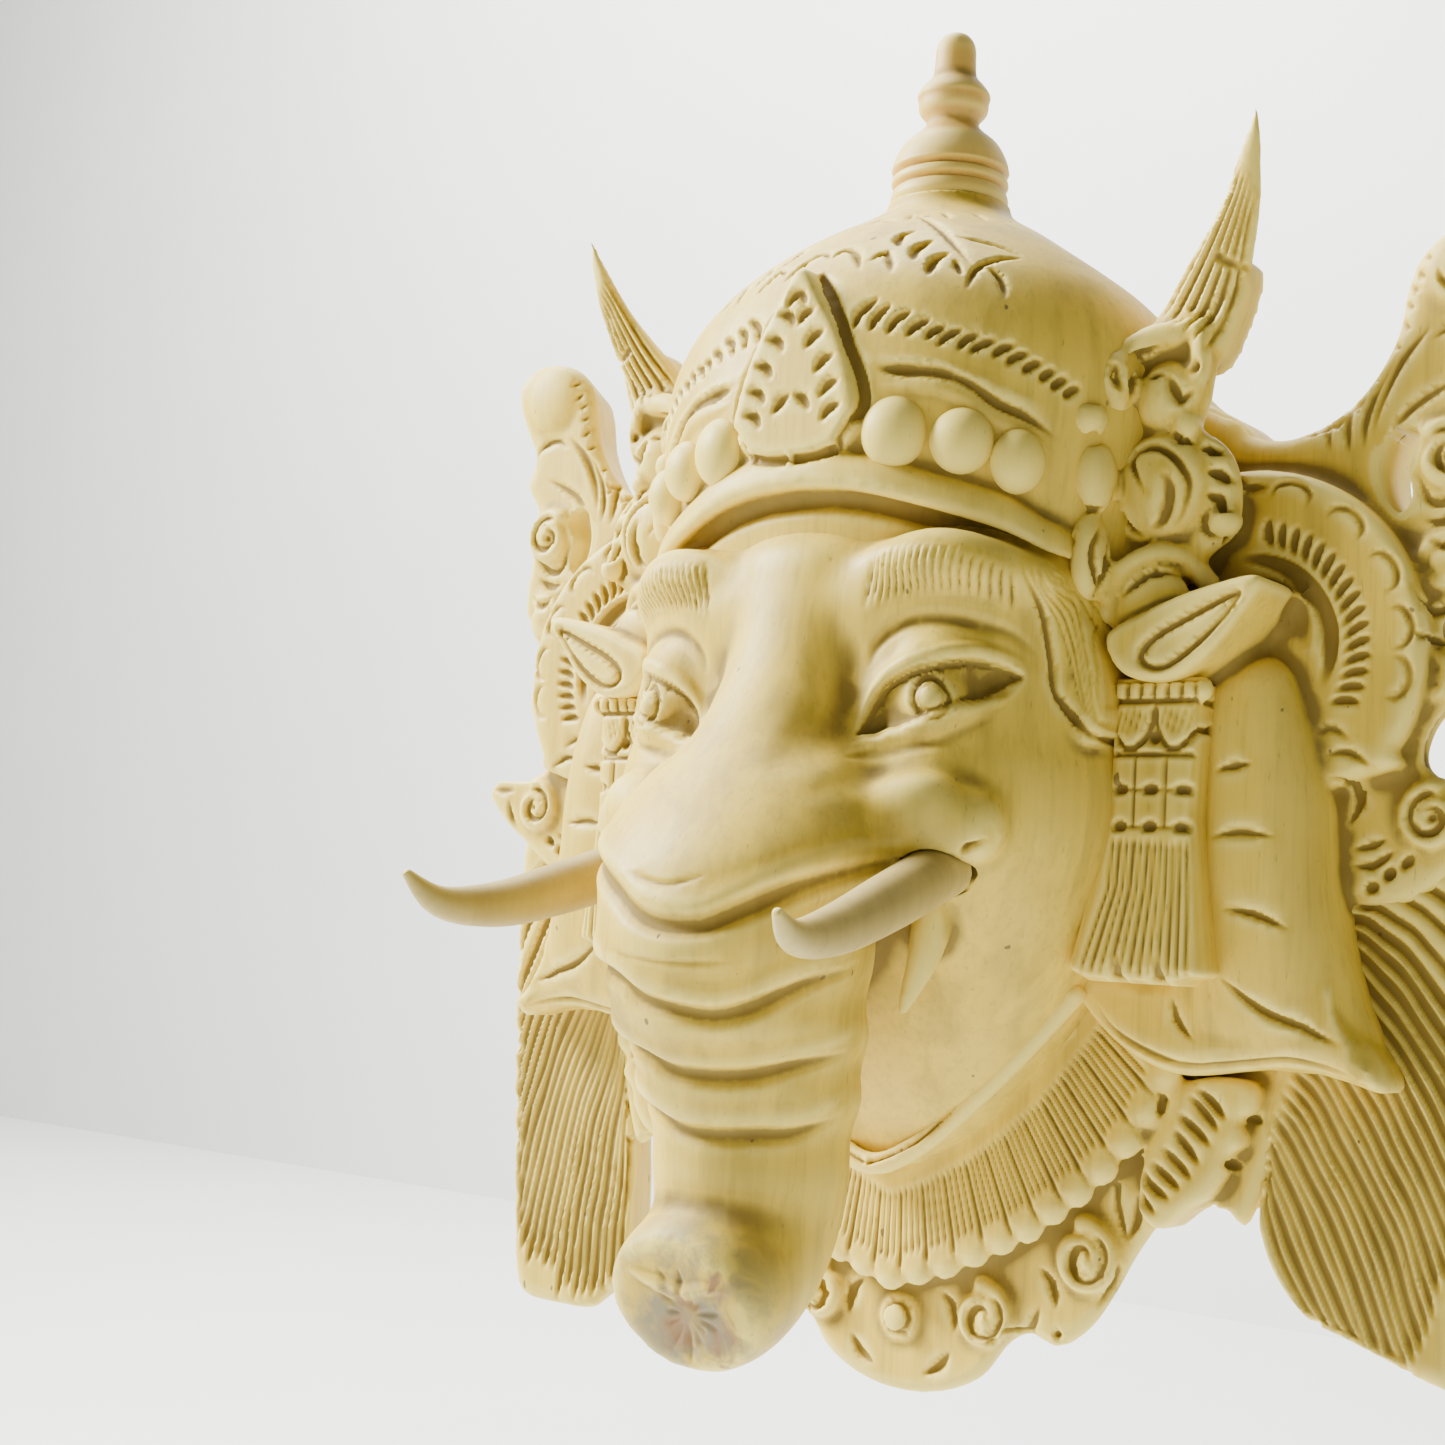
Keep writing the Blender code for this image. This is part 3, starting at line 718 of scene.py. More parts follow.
def fit(thing, *nodes, slot="carved_wood", finish=None):
    """Lets a piece ride on the mask, stand for its node and take its wood."""
    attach(thing, "root")
    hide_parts(*nodes)
    thing.data.materials.clear()
    thing.data.materials.append(finish)


# The head.
HEAD = [
    (0, 30, 6, 10, 14), (0, 30, 18, 30, 24), (0, 30, 34, 46, 36), (0, 30, 50, 59, 47),
    (0, 30, 64, 67, 57), (0, 30, 80, 74, 70), (0, 30, 96, 79, 79), (0, 30, 110, 80, 80),
    (0, 30, 124, 78, 76), (0, 30, 140, 77, 73), (0, 30, 158, 76, 75), (0, 30, 170, 73, 70),
    (0, 30, 180, 70, 60), (0, 30, 192, 66, 50),
]
TRUNK = [
    (0, 60, 192, 28, 22, 0), (0, 69, 183, 29, 23, 0), (0, 80, 172, 30, 24, 0), (0, 83, 160, 30, 24, 0),
    (0, 88, 142, 24, 24, 0), (0, 97, 122, 26, 27, 0), (0, 106, 104, 40, 31, 0), (0, 113, 88, 44, 34, 0),
    (0, 117, 75, 38, 34, 0), (0, 117, 62, 37, 35, 0), (0, 115, 52, 33.5, 33, 0), (0, 112, 43, 33.5, 33, 0),
    (0, 109, 35, 29.5, 29.5, 0), (0, 107, 26, 29.5, 29, 0), (0, 105.5, 18, 26, 26, 0),
    (0, 105, 6, 26, 25.5, 0), (0, 105.5, -5, 24.5, 24, 0.2), (0, 110, -13, 24.5, 22.5, 0.6),
    (0, 117, -19, 25, 21.5, 0.9), (0, 125, -23, 25, 20.5, 1.1), (0, 132, -26, 22.5, 18, 1.2),
]
CHEEK_PANEL = [(56, 174), (67, 165), (75, 148), (79, 128), (74, 121), (66, 133), (59, 150)]
UPPER_LID = [(27, 121), (29, 128), (34, 133), (42, 137), (49, 139), (55, 140), (60, 139), (64, 137)]
LOWER_LID = [(64, 137), (60, 133.5), (55, 129.5), (49, 126), (42, 124), (34, 122.5), (27, 121)]
LID_CREASE = [(26, 136), (29, 144), (35, 149), (41, 151), (48, 151), (54, 150), (61, 148), (66, 143)]
EYE = (48, 130.5)
BROW_TOP = [(29, 170), (36, 171), (43, 171), (50, 170), (57, 168), (63, 165)]
BROW_LOW = [(26, 154), (33, 155), (40, 156), (47, 157), (54, 157), (61, 154)]
MOUTH = [(40, 112, 90), (46, 108, 92), (52, 104, 92.5), (57, 101, 94), (60.5, 98, 96.5)]
FOLDS = [
    ([(-46, 96, 90), (-40, 120, 88), (-32, 136, 84), (-16, 147, 77), (-7, 151, 72), (2, 152, 69),
      (13, 149, 69), (20, 146, 72), (27, 141, 76), (34, 135, 80), (41, 120, 86), (46, 104, 90)], 3.4, 2.2),
    ([(-34, 115, 64), (-28, 134, 59), (-15, 146, 55), (-6, 147, 50), (4, 146, 48), (14, 143, 47),
      (21, 139, 49), (28, 134, 53), (33, 127, 57), (37, 112, 62)], 3.0, 2.2),
    ([(-31, 112, 44), (-24, 128, 41), (-11, 137, 36), (-3, 137, 33), (8, 136, 32), (19, 131, 33),
      (27, 123, 36), (32, 108, 40)], 2.8, 2.0),
    ([(-27, 108, 27), (-22, 124, 24), (-12, 130, 21), (-4, 131, 18), (5, 131, 17), (16, 126, 18),
      (23, 118, 19), (28, 106, 24)], 2.6, 1.7),
]
TRUNK_END = (3, 141, -31)
CREASES = 13


# Each tusk's name, its side (-1 is the viewer's left) and how far its tip is lifted.
TUSKS = (("tusk_left", -1, 0.05), ("tusk_right", 1, -0.03))
TUSK_ROOT, TUSK_LENGTH, TUSK_RADIUS = (49, 106, 84), 78, 7.4
SOCKET_GAP, PEG_LENGTH = 0.5, 11.6


def tusk_path(side, lift):
    """Points and radii along a tusk, from its root to its tip, in carver's units."""
    line = [(0.02, 0, 0), (0.05, 0.28, -0.09), (0.07, 0.56, -0.17), (0.10, 0.80, -0.19), (0.13, 0.94, -0.11)]
    root, long = TUSK_ROOT, TUSK_LENGTH
    path = [
        (side * (root[0] + long * x), root[1] + long * p, root[2] + long * (z + lift * p * p))
        for x, p, z in line
    ]
    return path, [TUSK_RADIUS * share for share in (1.0, 0.96, 0.82, 0.56, 0.16)]


def cut_sockets(thing):
    """Cuts the round holes that the tusks sit in."""
    for _, side, lift in TUSKS:
        path, radii = tusk_path(side, lift)
        back = [a + (a - b) * 0.6 for a, b in zip(path[0], path[1])]
        hole = Forms()
        hole.tube([tuple(back), *path[:3]], [r + SOCKET_GAP for r in (radii[0], *radii[:3])], 24)
        for spare in hole.parts[1:]:
            remove(spare)
        cut(thing, hole.parts[0])


def carve_head(wood):
    sizes = bpy.context.scene.mask_sizes
    forms = Forms()
    forms.loft(HEAD, 2.9, 96)
    forms.loft(TRUNK)
    for s in (-1, 1):
        for line, radii in (
            (((18, 96, 164), (44, 96, 167), (64, 80, 162)), [6, 9, 7]),
            (((28, 98, 128), (44, 97, 141), (62, 82, 138)), [6, 7, 4]),
            (((30, 96, 118), (46, 95, 121), (60, 82, 129)), [7, 8, 4]),
            (((24, 108, 94), (40, 104, 98), (56, 96, 98)), [14, 13, 10]),
        ):
            forms.tube([(s * x, p, z) for x, p, z in line], radii)
        forms.ball((s * 44, 92, 130), (13, 14, 9))
        forms.ball((s * 46, 99, 101), (13, 13, 9))
    forms.melt("rough_head", sizes.head_grain * 1.5, 7)
    for s in (-1, 1):
        forms.plate([(s * x, z) for x, z in CHEEK_PANEL], 40, 74, 4)
        forms.tube([(s * 43, 88, 84), (s * 41, 90, 66), (s * 36, 93, 49)], [6, 4.6, 1.2])
    thing = forms.melt("carved_head", sizes.head_grain, 2)
    saw_back(thing, 18)
    cut_hollow(thing, 1)
    bpy.ops.mesh.primitive_uv_sphere_add(segments=48, ring_count=32, radius=1, location=at(0, 142, -33))
    pit = bpy.context.object
    pit.scale = (19 * UNIT, 13 * UNIT, 9 * UNIT)
    pit.rotation_euler = (math.radians(-25), 0, 0)
    cut(thing, pit)
    cut_sockets(thing)
    carve_both(thing, carve_face_side, carve_trunk)
    fit(thing, "mask_body", finish=wood)


def carve_face_side(tool):
    """The eye, brow, temple panel and mouth of one side."""
    tool.field(UPPER_LID + LOWER_LID[1:-1], 2.4, 1.0)
    tool.dent((46, 130), 16, 1.9, rise=True)
    tool.ring(EYE, (60, 131), 6.0, 1.1, 1.3)
    tool.ring(EYE, (60, 131), 4.1, 0.7, 0.6)
    tool.stroke(UPPER_LID, 1.2, 1.7, kind="u", ends=0.1)
    tool.stroke(LOWER_LID, 0.9, 0.9, kind="u", ends=0.1)
    tool.dent((31.5, 123), 5, 2.0)
    tool.dent((59.5, 134.8), 5, 2.0)
    tool.ridge([(x, z + 3.4) for x, z in UPPER_LID], 3.2, 0.9)
    tool.ridge([(x, z - 2.6) for x, z in LOWER_LID], 2.6, 0.7)
    tool.stroke([(x, z - 7.0) for x, z in LOWER_LID[1:]], 3.2, 0.6, kind="soft")
    tool.stroke(LID_CREASE, 3.4, 1.1, kind="soft", ends=0.4)
    tool.stroke(LID_CREASE, 0.8, 0.35, kind="u", ends=0.4)
    tool.field([*BROW_TOP, *reversed(BROW_LOW)], 0.7, 5, rise=True)
    tool.between(BROW_TOP, BROW_LOW, 18, 0.85, 0.9, "v", 0.35)
    panel = [(64, 167), (66, 159), (67, 150), (68, 141), (69, 134), (73, 127), (79, 121)]
    tool.stroke(panel, 1.2, 1.6, kind="u")
    inner = [(65, 168), (67, 158), (69, 148), (71, 139), (74, 130), (79, 123)]
    outer = [(67, 168), (73, 161), (77, 152), (80, 142), (80, 133), (79, 125)]
    tool.comb([inner, outer], [7], 0.7, 0.6, kind="v", ragged=0.2)
    tool.stroke(MOUTH, 2.0, 3.6, kind="v", ends=0.4)
    tool.dent((46, 103, 102), 15, 2.4, rise=True)
    tool.stroke([(21, 147), (22, 133), (22, 121), (17, 108)], 14, 1.3, kind="soft", ends=0.6)
    tool.stroke([(28, 121), (24, 117), (19, 114)], 5, 0.9, kind="soft", ends=0.5)
    tool.stroke([(26, 102), (36, 108), (50, 112), (62, 108)], 8, 0.5, kind="soft", ends=0.5)


def carve_trunk(tool):
    """The folds of the trunk and the creases at its end."""
    for line, width, depth in FOLDS:
        tool.stroke(line, width + 1.4, depth, kind="soft", ends=0.3)
        tool.stroke(line, 0.7, 0.4, kind="u", ends=0.3)
        tool.ridge([(x, p, z + 5.4) for x, p, z in line], 5.0, 0.8, ends=0.3)
    tool.stroke([(-12, 148, 82), (2, 150, 79), (14, 148, 82)], 1.4, 0.6, kind="soft")
    tool.stroke([(-14, 140, 64), (2, 150, 60), (20, 142, 62)], 1.4, 0.5, kind="soft")
    spot, ahead, across = tool.basis(TRUNK_END, (13, 141, -31))
    ridge = [(-15, 136, -18), (-6, 139, -22), (3, 140, -24), (10, 138, -21), (17, 134, -19)]
    tool.ridge(ridge, 3.2, 1.8, ends=0.4)
    for k in range(CREASES):
        a = 2 * math.pi * k / CREASES + 0.2
        way = math.cos(a) * ahead + math.sin(a) * across
        line = [tool.nearest(spot + way * r) for r in (2, 7, 11 + 4 * math.sin(5 * k))]
        tool.keep(line, 1.5, 0.5 if k % 3 else 0.8, "soft", 0.4)


# The crown.
DOME = [
    (0, 37, 160, 76, 60), (0, 37, 185, 82, 64), (0, 38, 212, 84, 66), (0, 40, 228, 82, 63),
    (0, 42, 239, 76, 59), (0, 44, 248, 68, 53), (0, 45, 256, 58, 46), (0, 45, 264, 47, 37),
    (0, 42, 271, 37, 30), (0, 37, 278, 26, 23), (0, 33, 284, 19, 19), (0, 33, 290, 18, 18),
]
BRIM = [(76, 40, 166), (66, 68, 173), (40, 92, 186), (0, 100, 192)]
LEAF = [(0, 249), (8, 238), (15, 226), (20, 210), (19, 202), (12, 197), (0, 195)]
BEADS = [(29, 98.5, 201.5, 9.0, 9.8, 16), (46, 92, 199, 8.5, 8.8, 27), (58.5, 84.3, 194, 7.2, 8.6, 37)]
LIP = [(72, 66, 168), (66, 80, 171), (56, 89, 177), (33, 101, 184), (17, 105, 187.5), (0, 106.5, 188.5)]
LIP_PROFILE = [
    (-12, 11), (-5, 10), (-2, 8), (-0.4, 5), (0.4, 0.8), (-0.2, -0.6), (-5, -1.6), (-7.5, -6), (-14, -9),
]
ROW_TOP = [
    (22, 98, 239), (26, 98, 237), (32, 97, 235), (37, 95, 232), (41, 94, 230), (45, 92, 229), (49, 90, 228),
    (53, 88, 226), (57, 85, 225), (60, 83, 223), (63, 81, 221), (66, 79, 219), (69, 77, 217), (72, 75, 215),
]
ROW_LOW = [
    (16, 102, 230), (21, 100, 229), (26, 100, 228), (31, 98, 227), (36, 96, 226), (39, 95, 224),
    (44, 93, 223), (47, 92, 222), (52, 89, 221), (55, 87, 219), (59, 85, 217), (62, 81, 215), (65, 80, 213),
    (68, 78, 211),
]
BAND = [
    (24, 100, 219), (33, 99, 218), (41, 96, 217), (48, 93, 214), (54, 88, 209), (60, 84, 206), (66, 78, 201),
]


def carve_crown(wood):
    sizes = bpy.context.scene.mask_sizes
    forms = Forms()
    forms.loft(DOME, 2.0, 96)
    forms.tube([(x, p - 4, z + 1) for x, p, z in side_to_side(BRIM)], [5] * 7)
    forms.band(side_to_side(LIP), (0, 37), LIP_PROFILE)
    ridge = [(20, 99, 222), (40, 93, 217), (62, 77, 208), (79, 48, 198)]
    for s in (-1, 1):
        forms.tube([(s * x, p, z) for x, p, z in ridge], [3, 4, 4, 3])
    forms.plate(whole(LEAF), 80, 106, 2)
    thing = forms.melt("carved_crown", sizes.crown_grain, 2)
    saw_back(thing, 16)
    cut_hollow(thing, 2)
    seat = at(0, 33, 301.5)
    bpy.ops.mesh.primitive_cylinder_add(vertices=48, radius=0.0236, depth=0.03, location=seat)
    cut(thing, bpy.context.object)
    carve_both(thing, carve_crown_side)
    fit(thing, "mask_body", finish=wood)
    beads = Forms()
    for s in (-1, 1):
        for x, p, z, across, up, swing in BEADS:
            beads.ball((s * x, p, z), (across, 6.5, up), s * swing)
    thing = beads.join("carved_beads")
    Carving(thing).finish(refined=False)
    fit(thing, "mask_body", finish=wood)


def carve_crown_side(tool):
    """The leaf edge, the rows of crescents, the band and the petals of one side of the crown."""
    edge = [
        (1, 250), (7, 242), (12, 234), (17, 224), (20.5, 216), (21.5, 210), (20, 205), (16, 199.5), (14, 196),
    ]
    tool.stroke(edge, 1.6, 1.9, kind="u", ends=0.1)
    for x, z in ((2, 241), (5.5, 235.5), (9, 229), (12.5, 222), (14.5, 215), (15.5, 208.5)):
        tool.stroke([(x - 5.5, z - 4), (x - 3, z - 0.2), (x + 1.4, z + 0.8)], 1.7, 1.8, kind="u", ends=0.5)
    tool.stroke([(-0.1, 213.4), (3.4, 212), (6.4, 208)], 1.6, 1.6, kind="u", ends=0.5)
    tool.stroke([(0, 195.6), (8, 195.8), (15, 197.5)], 1.5, 1.8, kind="u", ends=0.1)
    tool.between(ROW_TOP, ROW_LOW, 14, 1.5, 1.7, "u", 0.4, bow=0.17)
    under = [(x, p - 6, z - 4) for x, p, z in LIP] + [(-9, 99.5, 184)]
    tool.stroke(under, 4.6, 3.0, kind="soft", ends=0.05)
    tool.stroke(BAND[:4], 2.2, 2.4, kind="u", ends=0.35)
    tool.stroke(BAND, 1.5, 1.8, kind="u", ends=0.3)
    tool.ridge([(x, p + 1, z - 4.5) for x, p, z in BAND], 3.0, 0.8)
    petals = [
        ([(11, 67, 273), (24, 75, 265), (34, 81, 256), (42, 85, 249)], 1.2, 1.3),
        ([(20, 87, 256), (17, 83, 261), (20, 79, 264)], 1.6, 1.6),
        ([(27, 90, 250), (25, 86, 255), (28, 82, 259)], 1.6, 1.6),
        ([(33, 92, 245), (32, 88, 250), (35, 85, 254)], 1.6, 1.6),
        ([(0, 70, 272), (5, 72, 271), (9, 74, 269)], 1.0, 0.9),
        ([(43, 88, 240), (43, 84, 247), (47, 79, 252), (51, 74, 253)], 1.2, 1.3),
        ([(45, 82, 248), (50, 83, 244), (53, 85, 238)], 1.1, 1.1),
        ([(37, 86, 251), (41, 88, 245)], 1.1, 1.1),
        ([(0, 93, 254), (3, 90, 258), (8, 91, 256), (13, 95, 248)], 1.3, 1.3),
        ([(14, 93, 251), (18, 90, 254), (23, 94, 246)], 1.2, 1.2),
        ([(30, 76, 258), (40, 72, 254), (48, 70, 249)], 1.0, 0.8),
    ]
    tool.gouges(petals, 0.4)
    for angle in range(0, 91, 18):
        a = math.radians(angle)
        x, p = 33 * math.sin(a), 42 + 27 * math.cos(a)
        petal = [(x * 0.86, p - 2, 275), (x, p, 271), (x * 1.12, p + 2, 266)]
        tool.stroke(petal, 1.0, 0.7, kind="u", ends=0.5)


# The board behind the head.
CORE = [
    (0, 266), (30, 262), (56, 248), (74, 226), (92, 214), (108, 190), (112, 150), (110, 110), (104, 70),
    (92, 36), (72, 6), (48, -14), (24, -32), (0, -38),
]


def carve_back(wood):
    sizes = bpy.context.scene.mask_sizes
    forms = Forms()
    forms.plate(whole(CORE), -4, 24, 4)
    thing = forms.melt("carved_back", sizes.back_grain, 1)
    saw_back(thing, 0)
    cut_hollow(thing, 0)
    bpy.ops.mesh.primitive_cylinder_add(vertices=24, radius=0.004, depth=0.04, location=(0, 0, 0.013))
    drill = bpy.context.object
    drill.rotation_euler = (math.radians(90 - 35), 0, 0)
    cut(thing, drill)
    Carving(thing).finish(refined=False)
    fit(thing, "mask_body", finish=wood)


# The wings.
WING = [
    (60, 216), (90, 215), (98, 209), (108, 207), (117, 209), (126, 214), (133, 222), (138, 232), (140, 243),
    (144, 252), (153, 258), (166, 259), (174, 253), (174, 245), (170, 236), (165, 226), (168, 217),
    (162, 207), (163, 201), (158, 196), (164, 185), (164, 176), (158, 164), (152, 153), (158, 147),
    (157, 138), (150, 128), (149, 119), (158, 115), (172, 115), (176, 110), (168, 101), (158, 94),
    (150, 88), (140, 84), (110, 84), (60, 84),
]
PIERCED = [(137, 204), (142, 207), (146, 203), (143, 196), (144, 188), (141, 184), (137, 188), (135, 196)]
FAN_CENTRE, FAN_RADIUS, FAN_FRONT = (102, 148), 49, 42
EAR = [
    (94, 138), (98, 146), (106, 149), (114, 146), (119, 137), (124, 122), (127, 105), (128, 88), (130, 70),
    (135, 56), (143, 45), (144, 38), (134, 40), (120, 42), (105, 40), (90, 38), (76, 42), (64, 51), (57, 62),
    (70, 66), (88, 66), (92, 100),
]
TASSEL = [(77, 138), (101, 138), (100, 104), (104, 64), (96, 61), (72, 61), (66, 64), (76, 104)]
BOW = [(77, 150), (88, 156), (102, 161), (119, 163.5), (112, 152), (104, 143), (94, 138), (82, 140)]
EAR_BULGE = [
    (106, 32, 148, 8, 11), (107, 34, 142, 12, 17), (108, 34, 130, 15.5, 20), (110, 34, 112, 17.5, 21),
    (110.5, 34, 92, 18.5, 21), (112, 35, 74, 20, 18), (112, 34, 60, 24, 16.5), (111, 33, 50, 29, 15),
    (108, 32, 44, 32, 12), (106, 31, 41, 33, 6),
]
CLUSTER_TOP = [
    (64, 200), (66, 216), (70, 232), (82, 236), (94, 235), (99, 228), (98, 214), (94, 205), (82, 199),
    (72, 198),
]
CLUSTER_LOW = [
    (62, 172), (66, 184), (64, 200), (68, 208), (82, 208), (94, 206), (103, 200), (107, 190), (106, 178),
    (99, 172), (92, 164), (76, 158), (66, 160),
]
FEATHER = [
    (86, 48, 228, 11, 6), (97, 54, 245, 9.5, 5), (106, 59, 261, 5.5, 3.6),
    (110.5, 63, 274, 2.8, 2.2), (113.5, 66, 285, 0.5, 0.5),
]
FEATHER_ROOT = [(76, 226), (96, 222), (104, 234), (107, 248), (100, 251), (88, 246)]
OUTER_SCROLLS = [
    (157, 246, 12, 200, 1), (153, 197, 11, 120, -1), (153, 170, 9, 60, 1), (149, 141, 8, 60, -1),
    (152, 106, 10, 90, 1),
]
SPIRALS = (OUTER_SCROLLS[0], OUTER_SCROLLS[1], OUTER_SCROLLS[4])


def fan_place(radius, degrees):
    a = math.radians(degrees)
    return FAN_CENTRE[0] + radius * math.cos(a), FAN_FRONT, FAN_CENTRE[1] + radius * math.sin(a)


def carve_wing(wood):
    """The wings. They are roughed out as mirror images, and only the right one has a scroll at its top."""
    sizes = bpy.context.scene.mask_sizes
    forms = Forms()
    forms.plate(WING, 11, 33, 4, 7)
    fan = [fan_place(FAN_RADIUS, d)[::2] for d in range(105, -40, -8)]
    forms.plate([*fan, (96, 110), (84, 150)], 22, FAN_FRONT, 3)
    forms.plate(EAR, 26, 47, 6)
    forms.loft(EAR_BULGE, 2.6, 40)
    forms.plate(BOW, 44, 69, 2)
    forms.plate(CLUSTER_TOP, 42, 57, 4, 12)
    forms.plate(CLUSTER_LOW, 30, 57, 4, 12)
    for spot, radii in (
        ((87, 56, 214), (9.5, 6.5, 9.5)), ((86, 57, 190), (14, 6.5, 14.5)), ((75, 63, 218), (5, 6, 9)),
        ((71, 70, 207), (5, 5, 5)), ((72, 67, 192), (5.5, 6.5, 10)), ((71, 67, 171), (5, 7, 12)),
        ((86, 60, 157), (11.5, 5, 12)), ((104, 56, 180), (4.5, 4, 4)), ((93, 57, 206), (3.5, 4, 4)),
    ):
        forms.ball(spot, radii)
    forms.tube([(73, 60, 225.5), (83, 59, 230), (95, 56, 231.5)], [3.2, 3.8, 3.6])
    forms.tube([(95, 57, 231), (96.5, 58, 222), (94.5, 58, 214)], [2.8, 2.6, 2.0])
    forms.tube([(74, 61, 157), (78, 62, 167), (86, 60, 172), (93, 56, 171), (98, 52, 165)], [3.0] * 5)
    for x, z, r, start, hand in OUTER_SCROLLS[1:]:
        forms.volute((x, z), r, 33.5, start, hand, 0.25, rise=1.0)
    forms.ball((157, 32, 246), (12, 4, 12))
    forms.loft(FEATHER, 2.8, 28)
    forms.plate(FEATHER_ROOT, 44, 56, 3)
    right = forms.melt("carved_wing_right", sizes.wing_grain, 2)
    hole = Forms()
    line = through(PIERCED, 4, closed=True)
    hole.rings([[at(x, p, z) for x, z in line] for p in (-10, 70)])
    cut(right, hole.parts[0])
    keep_whole(right)
    left = mirror_copy(right, "carved_wing_left", wood)
    for thing, side in ((right, 1), (left, -1)):
        tool = Carving(thing, side)
        carve_fan(tool)
        carve_scrolls(tool)
        carve_cluster(tool)
        carve_ear(tool)
        tool.finish()
        fit(thing, "mask_body", finish=wood)
    carve_tassel(wood)


def mirror_copy(thing, name, wood):
    only(thing)
    other = thing.copy()
    other.data = thing.data.copy()
    other.name = other.data.name = name
    bpy.context.scene.collection.objects.link(other)
    other.data.transform(Matrix.Scale(-1, 4, (1, 0, 0)))
    other.data.flip_normals()
    fit(other, "mask_body", finish=wood)
    return other


def carve_fan(tool):
    """The rows of crescents on the fan over the ear, and the hollow inside them."""
    for k in range(16):
        degrees = 72 - k * 6.7
        line = [fan_place(28.5, degrees), fan_place(32, degrees + 5), fan_place(36.5, degrees + 6)]
        tool.stroke(line, 1.45, 1.6, kind="u", ends=0.45)
    hollow = [fan_place(25, d) for d in (92, 75, 55, 35, 15, -5, -22)]
    tool.stroke(hollow, 2.8, 2.6, kind="u", ends=0.35)
    tool.stroke([fan_place(19, d) for d in (90, 60, 30, 0)], 7, 1.4, kind="soft")
    for degrees in (72, 49, 27, 7, -10):
        bend = ((41, 7), (44.6, 6), (46.6, 0), (44.6, -6), (41, -7))
        mark = [fan_place(r, degrees + turn) for r, turn in bend]
        tool.stroke(mark, 1.15, 1.2, kind="u", ends=0.4)
    tool.stroke([fan_place(44, d) for d in (104, 96, 88, 80)], 1.4, 1.2, kind="u")


def carve_scrolls(tool):
    """The gouges and scrolls on the outer part of the wing."""
    gouges = [
        ([(112, 214), (116, 216), (121, 213)], 1.8, 1.8),
        ([(124, 217), (121, 209), (122, 201)], 1.2, 1.3),
        ([(128, 219), (126, 211), (127, 200)], 1.4, 1.6),
        ([(140, 226), (134, 218), (131, 209), (131, 201)], 1.4, 1.6),
        ([(148, 232), (140, 224), (135, 214), (133, 205)], 1.6, 1.6),
        ([(157, 218), (150, 215), (142, 210), (136, 202)], 1.3, 1.3),
        ([(164, 226), (159, 230), (153, 231), (148, 228)], 1.2, 1.2),
        ([(160, 192), (153, 186), (148, 187), (145, 194)], 1.4, 1.6),
        ([(158, 184), (152, 181), (147, 182)], 1.4, 1.4),
        ([(160, 178), (154, 174), (149, 177)], 1.4, 1.4),
        ([(156, 160), (151, 158), (148, 163)], 1.4, 1.4),
        ([(155, 150), (150, 151), (146, 155)], 1.2, 1.2),
        ([(127, 41, 116), (131, 39, 115), (132.5, 33, 110), (130, 33, 104)], 1.4, 1.9),
        ([(127, 42, 121), (132, 42, 122), (138, 40, 119)], 1.2, 1.4),
        ([(131, 33, 94), (136, 33, 94), (142, 33, 98)], 1.3, 1.7),
        ([(131, 33, 98), (136, 33, 99), (140, 33, 101)], 1.1, 1.4),
        ([(134, 33, 86.5), (138, 33, 90)], 1.8, 2.2),
        ([(139, 33, 90), (142, 33, 94)], 1.8, 2.2),
        ([(143, 33, 93), (147, 33, 97)], 1.5, 1.8),
        ([(124, 42, 126), (128, 42, 128), (133, 42, 125)], 1.1, 1.0),
        ([(162, 112), (168, 112), (173, 112)], 1.4, 1.2),
        ([(160, 98), (164, 103), (165, 109)], 1.4, 1.4),
    ]
    tool.gouges(gouges, 0.5)
    for x, z, r, start, hand in SPIRALS[0 if tool.side > 0 else 1 :]:
        tool.spiral((x, 45, z), (x + 5, 45, z), r * 0.62, start - hand * 20, 1.15, 1.3, 1.6, hand)
        tool.dent((x, z), 2.2, 1.6)
    chance = random.Random(7)
    edge = [(126, 214), (138, 232), (140, 243), (144, 252)]
    for k in range(8):
        x, z = walk(edge, k / 7)
        nick = [(x + 1, z - 1), (x + 4, z - 3 + chance.uniform(-1, 1))]
        tool.stroke(nick, 0.9, 0.9, kind="u", ends=0.5)


